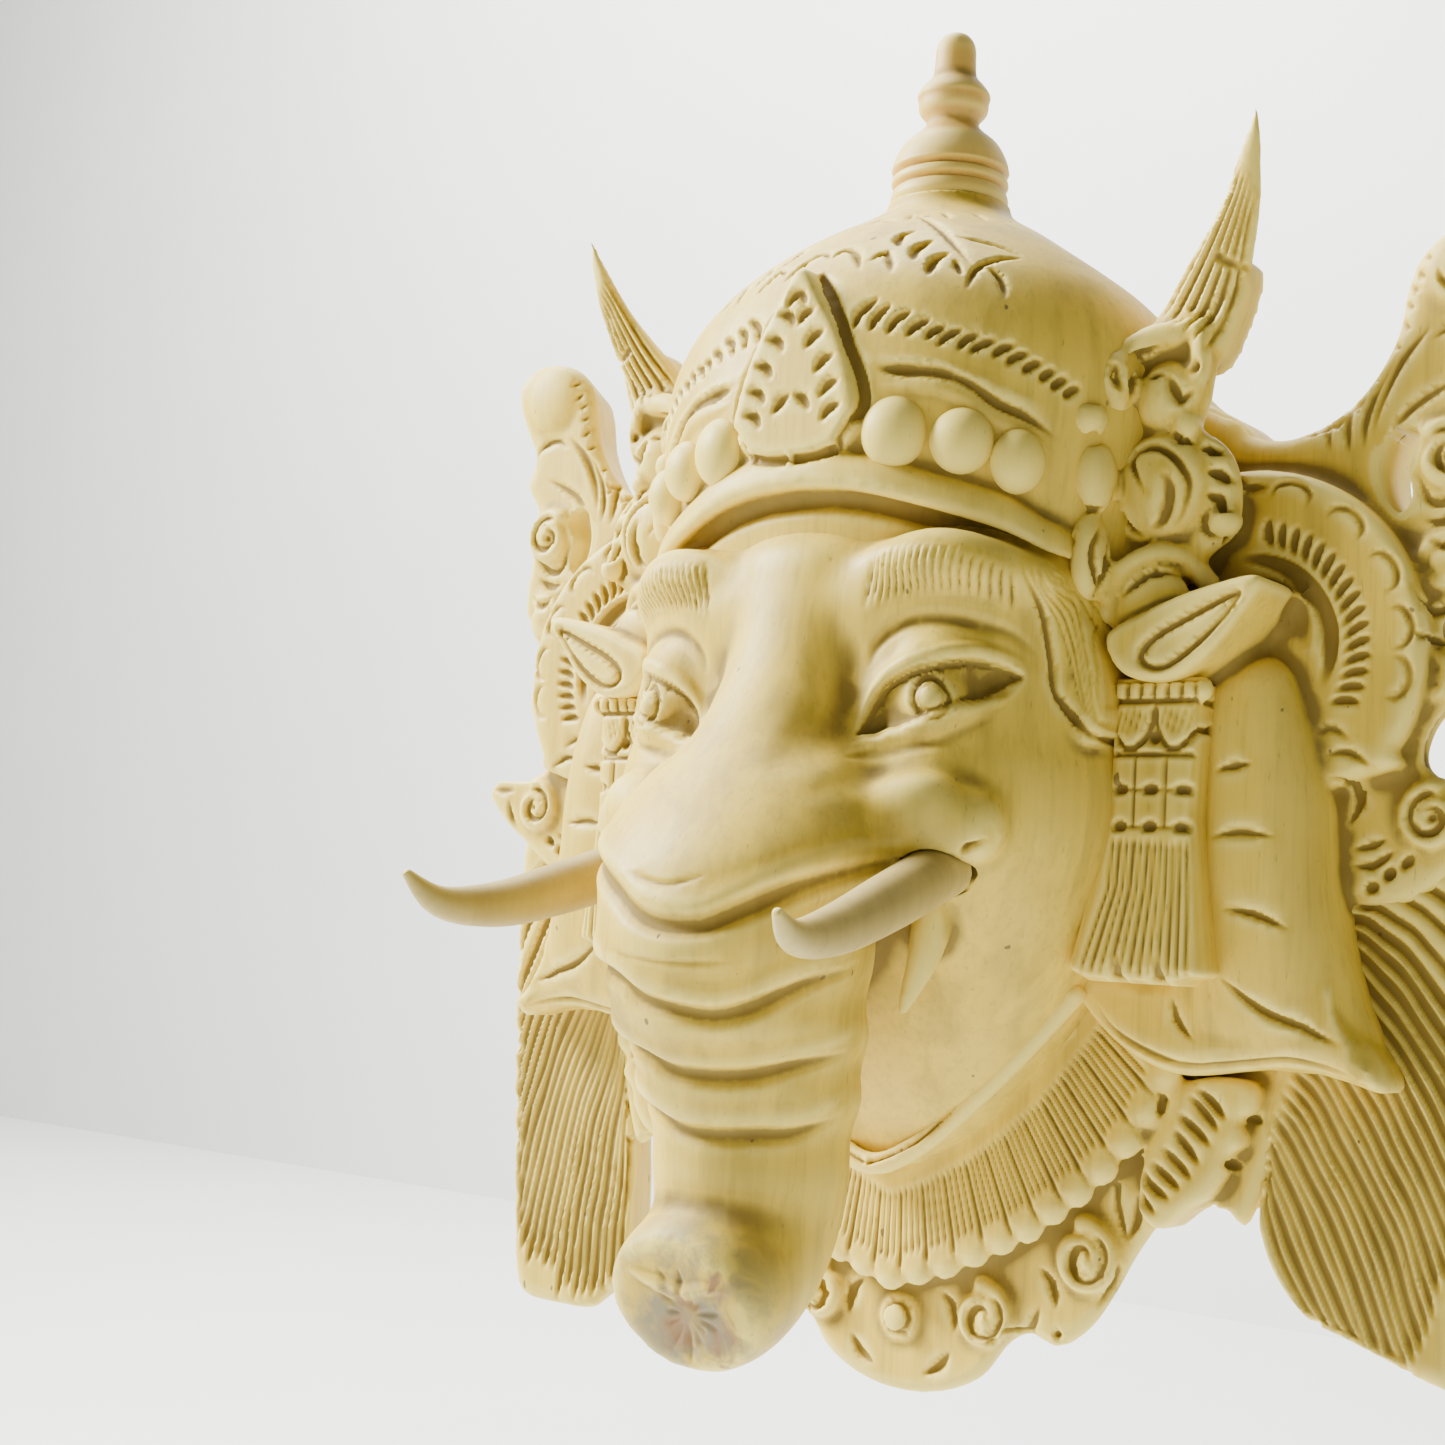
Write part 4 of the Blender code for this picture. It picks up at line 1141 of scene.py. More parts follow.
def carve_cluster(tool):
    """The scrolls, buds and leaf edges beside the crown, and the bow under them."""
    cuts = [
        ([(79, 63, 213), (78, 63, 221), (80, 60, 227), (86, 60, 228)], 2.0, 2.6),
        ([(81, 64, 219), (84, 64, 221.5), (89, 64, 220)], 1.2, 1.3),
        ([(89, 64, 221), (91, 63, 216), (94, 63, 212), (96, 60, 215)], 1.8, 2.6),
        ([(75, 67, 223), (76, 66, 220), (76, 65, 215)], 1.9, 2.4),
        ([(73, 66, 189), (73, 65, 185), (75, 62, 181), (79, 60, 178), (83, 60, 177)], 2.1, 2.4),
        ([(85, 65, 187), (82, 62, 192), (80, 60, 197), (83, 60, 200), (87, 61, 200), (93, 64, 197),
          (97, 64, 191), (97, 64, 186), (95, 63, 180), (92, 61, 178)], 1.4, 2.0),
        ([(89, 65, 194), (91, 64, 190), (91, 64, 185), (89, 63, 180), (85, 60, 179)], 1.9, 2.2),
        ([(98, 59, 201), (102, 59, 200), (106, 57, 200)], 1.8, 3.0),
        ([(101, 60, 194), (105, 60, 192), (110, 57, 191)], 1.8, 3.0),
        ([(101, 60, 187), (105, 60, 185), (110, 57, 184)], 1.8, 3.0),
        ([(90, 58, 205), (92, 58, 201), (96, 58, 201)], 1.2, 1.6),
        ([(104, 56, 177), (104, 50, 171)], 1.1, 1.5),
        ([(99, 57, 184), (99, 56, 178), (103, 55, 176)], 1.1, 1.4),
        ([(70, 72, 177), (69, 72, 172), (70, 70, 167)], 1.3, 2.0),
        ([(71, 67, 178), (72, 70, 171), (71, 67, 164)], 1.4, 2.2),
        ([(74, 62, 180), (76, 66, 170), (73, 68, 159)], 1.3, 1.8),
        ([(79, 66, 161), (82, 68, 165), (87, 66, 168), (91, 63, 168), (94, 60, 166)], 1.4, 2.0),
        ([(66, 75, 200), (70, 72, 201), (74, 68, 200)], 1.4, 1.8),
        ([(67, 74, 184), (71, 70, 183), (75, 66, 185)], 1.2, 1.5),
    ]
    tool.gouges(cuts, 0.45)
    for spot in ((72, 71, 212), (72, 70, 202), (95, 62, 221)):
        tool.dent(spot, 2.8, 2.4)
    tear = [(88, 145), (92, 149), (101, 153.5), (114, 159), (109, 152), (101, 145), (94, 141), (89, 142)]
    tool.stroke(tear, 1.1, 1.6, kind="u", closed=True)
    for k in range(7):
        root = (80 + 2.9 * k, 238 - 2.2 * k)
        middle = (93 + 2.0 * k, 253 - 1.8 * k)
        tip = (107.5 + 0.75 * k, 274 - 1.6 * k)
        tool.stroke([root, middle, tip], 0.9, 1.2, kind="u", ends=0.2)
    tool.stroke([(100, 56, 251), (104, 55, 248), (108, 53, 247)], 1.6, 1.8, kind="u", ends=0.4)


def carve_ear(tool):
    """The creases of the ear and the soft hollow along its lower edge."""
    creases = [
        ([(101, 57, 116), (106, 56, 117), (113, 55, 118)], 1.1, 1.5),
        ([(101, 55, 99), (110, 56, 100.5), (119, 53, 99.5)], 1.1, 1.5),
        ([(105, 55, 81), (114, 54, 80), (122, 50, 77)], 1.2, 1.7),
        ([(104, 52, 64), (115, 50, 56), (126, 50, 52), (135, 49, 49)], 1.4, 2.0),
        ([(89, 50, 59), (91, 50, 52), (96, 50, 47)], 1.1, 1.4),
    ]
    tool.gouges(creases, 0.5)
    low = [
        (67, 48, 55), (72, 47, 48), (84, 47, 42), (98, 46, 39), (113, 46, 41), (127, 47, 42), (140, 46, 40),
    ]
    tool.stroke(low, 2.2, 1.6, kind="soft")


def carve_tassel(wood):
    """The hanging tassel, with its bead band, hatched leaves, blocks and strands, and its mirrored copy."""
    forms = Forms()
    forms.plate(TASSEL, 30, 63, 4, smooth=False)
    forms.tube([(78, 60.5, 136.3), (101, 60.5, 136.3)], [3.2, 3.2])
    thing = forms.melt("carved_tassel_right", bpy.context.scene.mask_sizes.tassel_grain, 1)
    tool = Carving(thing)
    for z in (138.6, 133.2):
        tool.stroke([(75, z), (88, z), (103, z)], 0.8, 1.2, kind="u", ends=0.05)
    for k in range(7):
        tool.stroke([(78 + 3.8 * k, 138.4), (77.6 + 3.8 * k, 133.4)], 0.8, 1.3, kind="u", ends=0.3)
    for left, right in ((77.5, 89), (90, 101.5)):
        middle = (left + right) / 2
        outline = [(left, 133), (left, 126), (middle - 2, 121), (middle + 3, 123), (right, 129), (right, 133)]
        tool.stroke(outline, 1.0, 1.8, kind="u", ends=0.1)
        for k in range(6):
            x = left + 1.2 + k * 1.9
            tool.stroke([(x + 1.4, 132), (x - 0.6, 124.5)], 0.55, 0.7, ends=0.3)
    tool.dent((89.5, 124), 3.4, 3.0)
    tool.stroke([(77, 119.5), (89, 119.5), (101.5, 119.5)], 0.8, 1.3, kind="u", ends=0.05)
    for x in (84.5, 93):
        tool.stroke([(x, 119), (x, 100)], 0.7, 0.9, kind="u", ends=0.06)
    for z in (110.5, 101):
        tool.stroke([(77, z), (89, z), (101.5, z)], 0.6, 0.7, kind="u", ends=0.05)
        for x in (80.5, 89, 97.5):
            tool.stroke([(x - 2.6, z), (x + 2.6, z)], 1.6, 1.9, kind="u", ends=0.4)
    guides = [
        [(78, 99), (77, 85), (69, 62)], [(90, 99), (89, 85), (86, 62)], [(100, 99), (101, 85), (102, 62)],
    ]
    tool.comb(guides, [6, 6], 0.95, 1.2, kind="v", ends=0.08, ragged=0.04, seed=4)
    for x in (81, 92.5):
        tool.stroke([(x, 70), (x, 65), (x, 60)], 2.2, 3.2, kind="u", ends=0.5)
    tool.finish(refined=False)
    fit(thing, "mask_body", finish=wood)
    mirror_copy(thing, "carved_tassel_left", wood)


# The manes.
MANE_TOP = [(160, 78), (158, 98), (150, 96), (136, 90), (124, 86), (112, 50)]
MANE_RIGHT = [
    (107, 8), (108, -3), (113, -13), (121, -21), (130, -24), (142, -28), (154, -32), (160, -30), (160, 0),
    (160, 40), *MANE_TOP,
]
MANE_LEFT = [
    (106, 6), (104, -20), (104, -43), (111, -46), (117, -53), (132, -54), (146, -53), (151, -46), (153, -30),
    (156, 0), (159, 40), *MANE_TOP,
]
HAIR_RIGHT = [
    [(105, 14), (108, 4), (112, -6), (118, -16), (123, -24)],
    [(112, 38), (120, 30), (131, 12), (141, -8), (150, -34)],
    [(118, 66), (128, 58), (141, 42), (152, 24), (161, 4)],
    [(127, 82), (134, 82), (144, 76), (153, 66), (162, 56)],
    [(146, 92), (150, 92), (154, 90), (158, 88), (162, 86)],
]
HAIR_LEFT = [
    [(104, 14), (105, 0), (104, -16), (104, -32), (104, -46)],
    [(112, 40), (114, 26), (120, 2), (124, -24), (126, -56)],
    [(118, 66), (125, 52), (138, 26), (147, -6), (154, -40)],
    [(127, 82), (134, 78), (144, 66), (153, 48), (161, 26)],
    [(146, 92), (150, 90), (154, 86), (158, 82), (162, 76)],
]


def carve_mane(name, side, outline, guides, counts, wood):
    """The combed mane under one ear."""
    forms = Forms()
    forms.plate([(side * x, z) for x, z in outline], 11, 31, 3, 6)
    thing = forms.melt(name, bpy.context.scene.mask_sizes.mane_grain, 3)
    tool = Carving(thing, side)
    tool.comb(guides, counts, 1.7, 2.0, 0.35, 34, "u", 0.1, seed=3 + side, ragged=0.05)
    tool.finish()
    fit(thing, "mask_body", finish=wood)


# The collar and the skirt.
COLLAR = [
    (0, 6), (18, 15), (34, 27), (50, 43), (60, 55), (70, 57), (82, 42), (80, 28), (66, 10), (46, -6),
    (24, -20), (0, -27),
]
ROPE = [(62, 49, 57), (50, 50, 43.5), (34, 50, 28), (16, 49, 13), (0, 49, 6)]
SKIRT = [
    (0, -59), (14, -57), (26, -51), (34, -41), (41, -37), (50, -39), (59, -33), (66, -23), (72, -12),
    (79, -2), (87, 5), (96, 5), (104, 1), (112, 30), (112, 60), (0, 62),
]
NECK_EDGE = [(0, 1), (12, 6), (24, 13), (34, 21), (44, 30), (54, 42), (63, 53)]
LOBE_EDGE = [
    (0, -26), (11, -23), (22, -19), (33, -13), (43, -8), (52, -1), (61, 6), (70, 15), (77, 25), (83, 37),
]
LOBES = 11
SIDE_LEAF = [
    (84, 34), (96, 38), (107, 37), (108, 31), (104, 27), (105, 22), (101, 17.5), (100, 13), (96, 7), (90, 3),
    (82, -3), (76, 2), (77, 14), (81, 26),
]


def carve_collar(wood):
    sizes = bpy.context.scene.mask_sizes
    forms = Forms()
    forms.plate(whole(SKIRT), 11, 30, 3, 7)
    forms.plate(whole(COLLAR), 10, 39, 3)
    rope = ROPE + mirrored(ROPE[-2::-1])
    forms.tube(rope, [3.2] * len(rope))
    for k in range(LOBES + 1):
        x, z = mix(walk(NECK_EDGE, k / LOBES), walk(LOBE_EDGE, k / LOBES), 0.95)
        for s in (-1, 1) if k else (1,):
            forms.ball((s * x, 36.2, z), (5.5, 3.0, 5.5))
    for s in (-1, 1):
        forms.volute((s * 27, -34), 11, 30.5, 90, -s, 0.24)
        forms.volute((s * 58, -14), 12, 30.5, 90, -s, 0.24)
        forms.plate([(s * x, z) for x, z in SIDE_LEAF], 22, 37, 2.5)
    forms.ball((0, 30, -38), (6.2, 4.5, 6.2))
    thing = forms.melt("carved_collar", sizes.wing_grain, 1)
    cut_hollow(thing, 3)
    carve_both(thing, carve_collar_side)
    fit(thing, "mask_body", finish=wood)


def carve_collar_side(tool):
    """The rope, pleats, scrolls and leaves of one side of the collar."""
    groove = [(0, 52, 6), (16, 51, 13.5), (34, 50, 28.5), (50, 50, 44), (61, 50, 57)]
    tool.stroke(groove, 0.8, 1.4, kind="u", ends=0.02)
    for k in range(LOBES):
        for j in range(4):
            t = (k + j / 4) / LOBES
            near, far = walk(NECK_EDGE, t), walk(LOBE_EDGE, t)
            near, far = mix(near, far, 0.1), mix(near, far, 1.03 if j == 2 else 0.86)
            tool.stroke([near, far], 1.15, 1.5 if j == 2 else 1.1, kind="v", ends=0.15)
    tool.ring((0, 36, -38), (5, 36, -38), 6.2, 1.2, 1.8)
    tool.curl((0, 34, -38), (0, 34, -46), 8.6, -60, 120, 1.5, 2.0, 10, 0.4)
    tool.spiral((27, 36, -34), (32, 36, -34), 7.0, 60, 1.2, 1.3, 1.8, -1)
    tool.spiral((58, 36, -14), (63, 36, -14), 7.6, 60, 1.2, 1.3, 1.8, -1)
    for line in (
        [(8, -53), (13, -50), (17, -45)],
        [(37, -40), (42, -35), (45, -28)],
        [(62, -26), (67, -20), (69, -13)],
        [(13, -29), (17, -33), (18, -40)],
        [(44, -18), (48, -22), (50, -29)],
        [(70, -8), (73, -2), (73, 5)],
        [(31, -49), (35, -46), (38, -43)],
    ):
        tool.stroke(line, 1.5, 1.9, kind="u", ends=0.5)
    for line in (
        [(92, 38, 35), (97, 39, 31), (101, 40, 27)],
        [(90, 38, 33), (95, 39, 28), (99, 40, 24)],
        [(87, 38, 28), (92, 40, 24), (97, 41, 20)],
        [(86, 39, 24), (89, 41, 20), (94, 40, 15)],
        [(83, 38, 19), (86, 40, 16), (92, 39, 11)],
        [(80, 38, 15), (83, 39, 12), (89, 39, 8)],
        [(77, 37, 13), (79, 38, 9), (86, 38, 5)],
        [(75, 36, 9), (77, 36, 5), (82, 36, 1)],
    ):
        tool.stroke(line, 1.5, 2.1, kind="u", ends=0.45)
    tool.stroke([(82, 38, 33), (81, 32, 29), (80, 31, 25)], 1.3, 1.6, kind="u")
    tool.stroke([(69, 37, 14), (67, 30, 3), (71, 29, -9)], 1.0, 1.3, kind="u")
    for x, z in ((66, -18), (52, -36), (108, 27), (103, 15)):
        tool.stroke([(x, z), (x - 3, z + 1)], 1.5, 2.0, kind="u", ends=0.5)


# The turned and whittled pieces.
FINIAL_PROFILE = [
    (0.96, 0.000), (1.00, 0.035), (0.96, 0.080), (0.90, 0.095), (0.99, 0.120), (0.97, 0.155), (0.89, 0.170),
    (0.99, 0.195), (0.99, 0.215), (0.94, 0.270), (0.80, 0.350), (0.56, 0.420), (0.45, 0.465), (0.47, 0.500),
    (0.58, 0.545), (0.60, 0.600), (0.62, 0.635), (0.54, 0.680), (0.38, 0.745), (0.35, 0.830), (0.33, 0.920),
    (0.21, 0.980), (0.02, 1.000),
]
FINIAL_TURNS = 72


def turn_finial(wood):
    """Turns the finial: its profile is drawn once and spun round the axis."""
    low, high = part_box("finial")
    centre = (low + high) / 2
    radius, height = (high.x - low.x) / 2, high.z - low.z
    deselect()
    bpy.ops.mesh.primitive_plane_add(size=0.001, location=(centre.x, centre.y, low.z))
    thing = bpy.context.object
    thing.name = thing.data.name = "turned_finial"
    only(thing)
    bpy.ops.object.transform_apply(location=True, rotation=True, scale=True)
    bm = bmesh.new()
    line = through(FINIAL_PROFILE, 4)
    spots = [(0.0, 0.0), *line, (0.0, 1.0)]
    made = [bm.verts.new((centre.x + r * radius, centre.y, low.z + z * height)) for r, z in spots]
    for a, b in zip(made, made[1:]):
        bm.edges.new((a, b))
    bm.to_mesh(thing.data)
    bm.free()
    bpy.ops.object.mode_set(mode="EDIT")
    bpy.ops.mesh.select_all(action="SELECT")
    foot = (centre.x, centre.y, low.z)
    bpy.ops.mesh.spin(steps=FINIAL_TURNS, angle=2 * math.pi, center=foot, axis=(0, 0, 1))
    bpy.ops.mesh.select_all(action="SELECT")
    bpy.ops.mesh.remove_doubles(threshold=0.00002)
    bpy.ops.mesh.normals_make_consistent(inside=False)
    bpy.ops.mesh.select_all(action="DESELECT")
    bpy.ops.object.mode_set(mode="OBJECT")
    bpy.ops.object.shade_smooth()
    Carving(thing).finish(refined=False)
    fit(thing, "finial", slot="finial_wood", finish=wood)


def carve_tusk(name, side, lift, wood):
    """One tusk: a round peg that swells a little past its root and curls to a blunt tip."""
    low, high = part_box(name)
    path, radii = tusk_path(side, lift)
    back = tuple(a + (a - b) / math.dist(path[0], path[1]) * PEG_LENGTH for a, b in zip(path[0], path[1]))
    forms = Forms()
    forms.tube([back, *path], [radii[0], *radii], 40)
    for spare in forms.parts[1:]:
        remove(spare)
    thing = forms.parts[0]
    thing.name = thing.data.name = name + "_carved"
    melt_skin(thing, bpy.context.scene.mask_sizes.tusk_grain, 5)
    Carving(thing).finish(refined=False)
    co = np.empty(len(thing.data.vertices) * 3)
    thing.data.vertices.foreach_get("co", co)
    co = np.clip(co.reshape(-1, 3), np.array(low), np.array(high))
    thing.data.vertices.foreach_set("co", co.ravel())
    fit(thing, name, slot="tusk_wood", finish=wood)


# The wood.
def node(tree, kind, spot=(0, 0), **settings):
    made = tree.nodes.new(kind)
    made.location = spot
    for name, value in settings.items():
        setattr(made, name, value)
    return made


def blend_colour(tree, amount, one, two):
    made = node(tree, "ShaderNodeMix", data_type="RGBA", blend_type="MIX")
    for socket, value in ((0, amount), (6, one), (7, two)):
        if isinstance(value, bpy.types.NodeSocket):
            tree.links.new(value, made.inputs[socket])
        else:
            made.inputs[socket].default_value = value
    return made.outputs[2]


def scaled(tree, value, low, high, to_low=0.0, to_high=1.0):
    made = node(tree, "ShaderNodeMapRange")
    tree.links.new(value, made.inputs[0])
    for k, number in enumerate((low, high, to_low, to_high)):
        made.inputs[k + 1].default_value = number
    return made.outputs[0]


def maths(tree, operation, one, two):
    made = node(tree, "ShaderNodeMath", operation=operation)
    for k, value in enumerate((one, two)):
        if isinstance(value, bpy.types.NodeSocket):
            tree.links.new(value, made.inputs[k])
        else:
            made.inputs[k].default_value = value
    return made.outputs[0]


def noise(tree, place, scale, stretch=(1, 1, 1), detail=4.0, rough=0.55, warp=0.0):
    lay = node(tree, "ShaderNodeMapping")
    lay.inputs["Scale"].default_value = stretch
    tree.links.new(place, lay.inputs["Vector"])
    made = node(tree, "ShaderNodeTexNoise")
    tree.links.new(lay.outputs[0], made.inputs["Vector"])
    made.inputs["Scale"].default_value = scale
    made.inputs["Detail"].default_value = detail
    made.inputs["Roughness"].default_value = rough
    made.inputs["Distortion"].default_value = warp
    return made.outputs["Fac"]


def bare_wood_group():
    """Bare carved wood: grain along its length, pores, patches, grime and painted shade in the cuts and
    hollows, and rubbed edges.
    """
    tree = bpy.data.node_groups.new("bare_wood", "ShaderNodeTree")
    face = tree.interface
    for name in ("Wood", "Patches", "Crevices", "Edges", "Pore colour"):
        face.new_socket(name, in_out="INPUT", socket_type="NodeSocketColor")
    for name in ("Dirt", "Grain", "Pores"):
        face.new_socket(name, in_out="INPUT", socket_type="NodeSocketFloat")
    face.new_socket("Colour", in_out="OUTPUT", socket_type="NodeSocketColor")
    face.new_socket("Roughness", in_out="OUTPUT", socket_type="NodeSocketFloat")
    face.new_socket("Height", in_out="OUTPUT", socket_type="NodeSocketFloat")
    given = node(tree, "NodeGroupInput").outputs
    place = node(tree, "ShaderNodeTexCoord").outputs["Object"]
    broad = noise(tree, place, 9, (1, 1, 0.6), 3)
    patches = noise(tree, place, 42, (1, 1, 0.45), 5, 0.6)
    fibres = noise(tree, place, 520, (1, 1, 0.05), 4, 0.6, 0.4)
    rings = noise(tree, place, 95, (1, 1, 0.035), 3, 0.5, 0.6)
    pores = scaled(tree, noise(tree, place, 900, (1, 1, 0.18), 2, 0.5), 0.69, 0.78)
    knots = scaled(tree, noise(tree, place, 230, (1, 1, 0.7), 1, 0.4), 0.785, 0.81)
    fine = node(tree, "ShaderNodeAttribute", attribute_name="fine_hollow").outputs["Fac"]
    deep = node(tree, "ShaderNodeAttribute", attribute_name="broad_hollow").outputs["Fac"]
    sunk = node(tree, "ShaderNodeAttribute", attribute_name="cut").outputs["Fac"]

    def times(one, two):
        return maths(tree, "MULTIPLY", one, two)

    def plus(one, two):
        return maths(tree, "ADD", one, two)

    colour = blend_colour(tree, scaled(tree, broad, 0.38, 0.66, 0, 0.75), given["Wood"], given["Patches"])
    colour = blend_colour(tree, scaled(tree, patches, 0.45, 0.75, 0, 0.35), colour, given["Patches"])
    streak = times(scaled(tree, rings, 0.45, 0.72, 0, 0.34), given["Grain"])
    colour = blend_colour(tree, streak, colour, given["Crevices"])
    streak = times(scaled(tree, fibres, 0.5, 0.8, 0, 0.30), given["Grain"])
    colour = blend_colour(tree, streak, colour, given["Crevices"])
    colour = blend_colour(tree, scaled(tree, fine, -0.05, -0.42, 0, 0.7), colour, given["Edges"])
    # The cuts and hollows are darkened towards the crevice colour: partly grime, partly painted shade where
    # they would lie in shade.
    hollow = plus(scaled(tree, fine, 0.03, 0.5, 0, 0.6), scaled(tree, deep, 0.15, 1.6, 0, 0.5))
    hollow = plus(hollow, scaled(tree, sunk, 0.4, 2.4, 0, 0.3))
    uneven = scaled(tree, patches, 0.3, 0.7, 0.65, 1.25)
    dirt = maths(tree, "MINIMUM", times(times(hollow, uneven), given["Dirt"]), 0.85)
    colour = blend_colour(tree, dirt, colour, given["Crevices"])
    specks = times(plus(times(pores, 0.4), knots), given["Pores"])
    colour = blend_colour(tree, maths(tree, "MINIMUM", specks, 0.8), colour, given["Pore colour"])
    height = plus(times(fibres, 0.35), times(rings, 0.5))
    height = maths(tree, "SUBTRACT", height, times(specks, 0.8))
    tools = noise(tree, place, 170, (1, 1, 1), 2, 0.5)
    height = plus(height, times(tools, 1.1))
    rough = plus(scaled(tree, patches, 0.3, 0.7, 0.44, 0.62), times(dirt, 0.3))
    out = node(tree, "NodeGroupOutput")
    for name, value in (("Colour", colour), ("Roughness", rough), ("Height", height)):
        tree.links.new(value, out.inputs[name])
    return tree


# The fourth argument sets how strongly grime and painted shade darken the cuts and hollows.
def wood(name, main, patches, dirt=1.5, grain=1.0, pores=1.0, gloss=0.32, depth=0.00022, trunk_end_marked=False):
    """A wood of its own colours, made with the bare wood group."""
    colours = bpy.context.scene.mask_colours
    made = bpy.data.materials.new(name)
    made.use_nodes = True
    tree = made.node_tree
    shader = tree.nodes["Principled BSDF"]
    group = node(tree, "ShaderNodeGroup", (-500, 0))
    group.node_tree = bpy.data.node_groups.get("bare_wood") or bare_wood_group()
    values = {
        "Wood": main, "Patches": patches, "Crevices": colours.crevice, "Edges": colours.worn,
        "Pore colour": colours.pore, "Dirt": dirt, "Grain": grain, "Pores": pores,
    }
    for key, value in values.items():
        group.inputs[key].default_value = value
    colour = group.outputs["Colour"]
    # Clouds of grey and of brown round the trunk's end.
    if trunk_end_marked:
        place = node(tree, "ShaderNodeTexCoord").outputs["Object"]
        spot = node(tree, "ShaderNodeVectorMath", operation="DISTANCE")
        tree.links.new(place, spot.inputs[0])
        spot.inputs[1].default_value = at(3, 138, -28)
        near = scaled(tree, spot.outputs["Value"], 0.033, 0.016)
        clouds = scaled(tree, noise(tree, place, 85, (1, 1, 1), 4, 0.6, 0.5), 0.4, 0.6)
        colour = blend_colour(tree, maths(tree, "MULTIPLY", near, clouds), colour, colours.trunk_end_grey)
        brown = scaled(tree, noise(tree, place, 60, (1, 1, 1), 3, 0.6, 0.8), 0.54, 0.66)
        colour = blend_colour(tree, maths(tree, "MULTIPLY", near, brown), colour, colours.trunk_end_brown)
    tree.links.new(colour, shader.inputs["Base Color"])
    tree.links.new(group.outputs["Roughness"], shader.inputs["Roughness"])
    shader.inputs["Specular IOR Level"].default_value = gloss
    bump = node(tree, "ShaderNodeBump", (-200, -300))
    bump.inputs["Strength"].default_value = 0.5
    bump.inputs["Distance"].default_value = depth
    tree.links.new(group.outputs["Height"], bump.inputs["Height"])
    tree.links.new(bump.outputs["Normal"], shader.inputs["Normal"])
    return made


def carved_wood():
    """The wood of the block, which all its carved pieces share."""
    colours = bpy.context.scene.mask_colours
    found = bpy.data.materials.get("bare_carved_wood")
    return found or wood("bare_carved_wood", colours.pale, colours.warm, trunk_end_marked=True)


# The studio.
CAMERA_PLACE = (0.3468, -0.5651, -0.1790)
CAMERA_ROUND, CAMERA_UP, CAMERA_ROLL = math.radians(38.4), math.radians(-5.6), math.radians(3.3)


def plain_material(name, colour, roughness):
    made = bpy.data.materials.new(name)
    made.use_nodes = True
    tree = made.node_tree
    shader = tree.nodes["Principled BSDF"]
    place = node(tree, "ShaderNodeTexCoord").outputs["Object"]
    cloud = noise(tree, place, 2.5, (1, 1, 1), 3)
    darker = tuple(c * 0.93 for c in colour[:3]) + (1,)
    tone = blend_colour(tree, scaled(tree, cloud, 0.3, 0.7, 0, 0.5), colour, darker)
    tree.links.new(tone, shader.inputs["Base Color"])
    shader.inputs["Roughness"].default_value = roughness
    return made


def light(name, place, target, power, size):
    lamp = bpy.data.lights.new(name, "AREA")
    lamp.energy = power
    lamp.size = size
    thing = bpy.data.objects.new(name, lamp)
    thing.location = place
    thing.rotation_euler = (Vector(target) - Vector(place)).to_track_quat("-Z", "Y").to_euler()
    bpy.context.scene.collection.objects.link(thing)


def set_stage():
    studio = bpy.context.scene.mask_studio
    pale = plain_material("pale_ground", (0.88, 0.88, 0.86, 1), 0.85)
    for name, spot, turn in (
        ("floor", (0, 0, -studio.floor_drop), (0, 0, 0)),
        ("backdrop", (0, 2.8, 6.0), (math.radians(90), 0, 0)),
    ):
        deselect()
        bpy.ops.mesh.primitive_plane_add(size=24, location=spot, rotation=turn)
        plane = bpy.context.object
        plane.name = name
        bpy.ops.object.transform_apply(location=True, rotation=True, scale=True)
        plane.data.materials.append(pale)
    middle = (0.0, -0.08, -0.1)
    light("key_light", (-1.4, -0.7, 0.85), middle, studio.key_power, 0.55)
    light("fill_light", (1.4, -0.9, 0.3), middle, studio.fill_power, 1.2)
    light("backdrop_light", (-1.8, 0.6, 3.0), (-2.2, 2.8, 0.4), 4 * studio.key_power, 2.5)
    world = bpy.data.worlds.new("soft_room")
    bpy.context.scene.world = world
    world.use_nodes = True
    world.node_tree.nodes["Background"].inputs[0].default_value = (0.96, 0.97, 1.0, 1)
    world.node_tree.nodes["Background"].inputs[1].default_value = studio.sky
    lens = bpy.data.cameras.new("camera")
    lens.lens = 54.2
    lens.sensor_width = 36
    lens.clip_start = 0.01
    camera = bpy.data.objects.new("camera", lens)
    bpy.context.scene.collection.objects.link(camera)
    bpy.context.scene.camera = camera
    camera.matrix_world = Matrix.Translation(CAMERA_PLACE) @ camera_pose()


def camera_pose():
    """The camera's turn: round to the mask's left, a little from below, and rolled."""
    a, e = CAMERA_ROUND, CAMERA_UP
    back = Vector((math.sin(a) * math.cos(e), -math.cos(a) * math.cos(e), math.sin(e)))
    right = (-back).cross(Vector((0, 0, 1))).normalized()
    up = right.cross(-back)
    c, s = math.cos(CAMERA_ROLL), math.sin(CAMERA_ROLL)
    turned_right, turned_up = c * right + s * up, -s * right + c * up
    return Matrix((turned_right, turned_up, back)).transposed().to_4x4()


class MASK_OT_head(Operator):
    """Carves the face and the trunk, and cuts the sockets for the fangs"""

    bl_idname = "mask.head"
    bl_label = "Carve head"

    def execute(self, context):
        carve_head(carved_wood())
        return {"FINISHED"}


class MASK_OT_crown(Operator):
    """Carves the domed crown with its brim, leaf and beads"""

    bl_idname = "mask.crown"
    bl_label = "Carve crown"

    def execute(self, context):
        carve_crown(carved_wood())
        return {"FINISHED"}


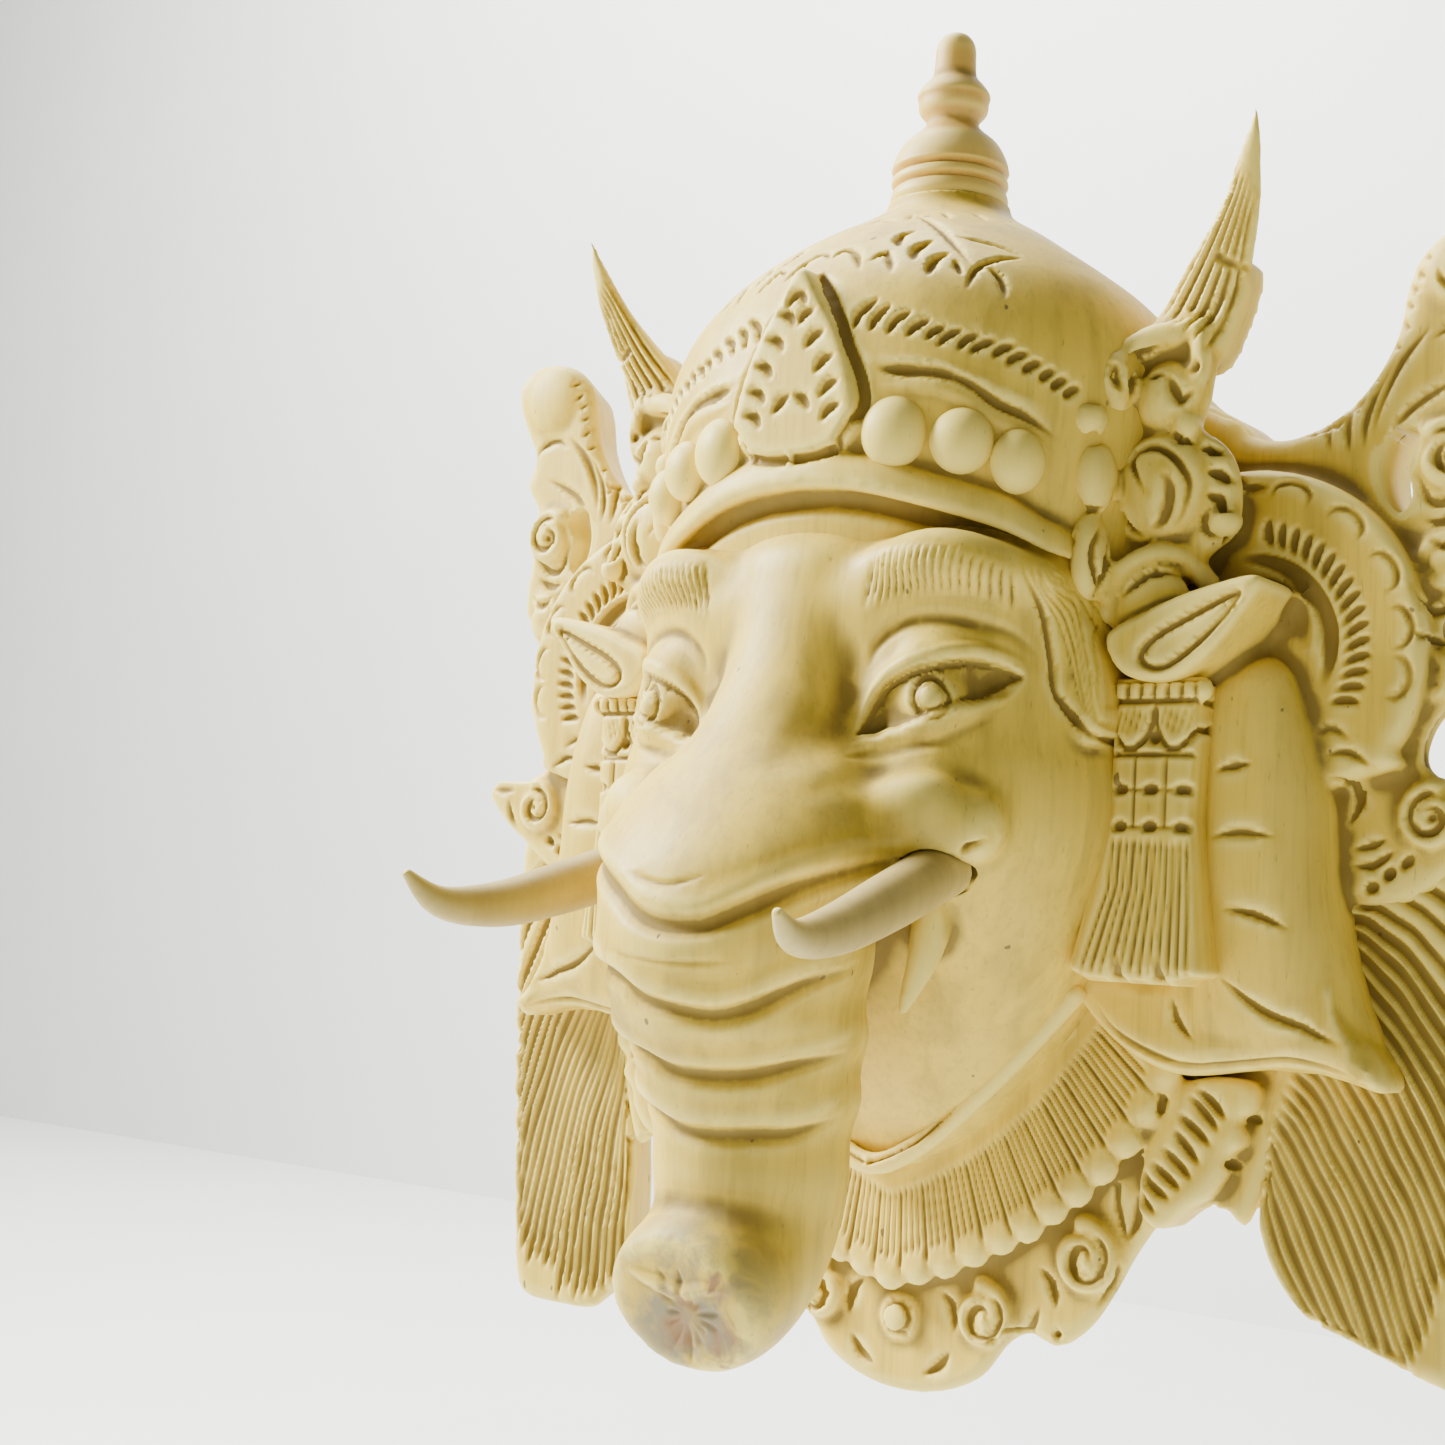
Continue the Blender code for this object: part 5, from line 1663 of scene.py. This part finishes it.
class MASK_OT_back(Operator):
    """Cuts the board behind the head, with its hollow and its hanging hole"""

    bl_idname = "mask.back"
    bl_label = "Cut back"

    def execute(self, context):
        carve_back(carved_wood())
        return {"FINISHED"}


class MASK_OT_wings(Operator):
    """Carves the two wings with their scrolls, ears, feathers and tassels"""

    bl_idname = "mask.wings"
    bl_label = "Carve wings"

    def execute(self, context):
        carve_wing(carved_wood())
        return {"FINISHED"}


class MASK_OT_manes(Operator):
    """Carves the combed mane under each ear"""

    bl_idname = "mask.manes"
    bl_label = "Carve manes"

    def execute(self, context):
        carve_mane("carved_mane_right", 1, MANE_RIGHT, HAIR_RIGHT, [8, 8, 6, 3], carved_wood())
        carve_mane("carved_mane_left", -1, MANE_LEFT, HAIR_LEFT, [6, 8, 6, 3], carved_wood())
        return {"FINISHED"}


class MASK_OT_collar(Operator):
    """Carves the pleated collar, its rope and the scroll skirt"""

    bl_idname = "mask.collar"
    bl_label = "Carve collar"

    def execute(self, context):
        carve_collar(carved_wood())
        return {"FINISHED"}


class MASK_OT_finial(Operator):
    """Turns the finial on the crown"""

    bl_idname = "mask.finial"
    bl_label = "Turn finial"

    def execute(self, context):
        colours = context.scene.mask_colours
        finish = wood("turned_yellow_wood", colours.finial, colours.finial_warm, 1.1, 0.7, 0.5, 0.5, 0.00012)
        turn_finial(finish)
        return {"FINISHED"}


class MASK_OT_tusks(Operator):
    """Carves the two tusks"""

    bl_idname = "mask.tusks"
    bl_label = "Carve tusks"

    def execute(self, context):
        colours = context.scene.mask_colours
        for name, side, lift in TUSKS:
            main = getattr(colours, name)
            darker = tuple(c * 0.7 for c in main[:3]) + (1,)
            finish = wood(name + "_tan_wood", main, darker, 0.8, 0.8, 0.3, 0.5, 0.0001)
            carve_tusk(name, side, lift, finish)
        return {"FINISHED"}


class MASK_OT_stage(Operator):
    """Sets the floor, the backdrop, the lights and the camera"""

    bl_idname = "mask.stage"
    bl_label = "Set stage"

    def execute(self, context):
        set_stage()
        return {"FINISHED"}


STEPS = (
    MASK_OT_stage, MASK_OT_head, MASK_OT_crown, MASK_OT_back, MASK_OT_wings, MASK_OT_manes, MASK_OT_collar,
    MASK_OT_finial, MASK_OT_tusks,
)


class MASK_PT_panel(Panel):
    """The steps of the carving, in order"""

    bl_idname = "MASK_PT_panel"
    bl_label = "Carved wall mask"
    bl_space_type = "VIEW_3D"
    bl_region_type = "UI"
    bl_category = "Mask"

    def draw(self, context):
        for step in STEPS:
            self.layout.operator(step.bl_idname)
        for group in (context.scene.mask_sizes, context.scene.mask_colours, context.scene.mask_studio):
            for name in group.bl_rna.properties.keys():
                if name not in ("rna_type", "name"):
                    self.layout.prop(group, name)


CLASSES = (MaskSizes, MaskColours, MaskStudio, *STEPS, MASK_PT_panel)


def register():
    for kind in CLASSES:
        bpy.utils.register_class(kind)
    bpy.types.Scene.mask_sizes = PointerProperty(type=MaskSizes)
    bpy.types.Scene.mask_colours = PointerProperty(type=MaskColours)
    bpy.types.Scene.mask_studio = PointerProperty(type=MaskStudio)


def unregister():
    del bpy.types.Scene.mask_studio
    del bpy.types.Scene.mask_colours
    del bpy.types.Scene.mask_sizes
    for kind in reversed(CLASSES):
        bpy.utils.unregister_class(kind)


def main():
    register()
    bpy.ops.mask.stage()
    bpy.ops.mask.head()
    bpy.ops.mask.crown()
    bpy.ops.mask.back()
    bpy.ops.mask.wings()
    bpy.ops.mask.manes()
    bpy.ops.mask.collar()
    bpy.ops.mask.finial()
    bpy.ops.mask.tusks()
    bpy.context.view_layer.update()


if __name__ == "__main__":
    main()
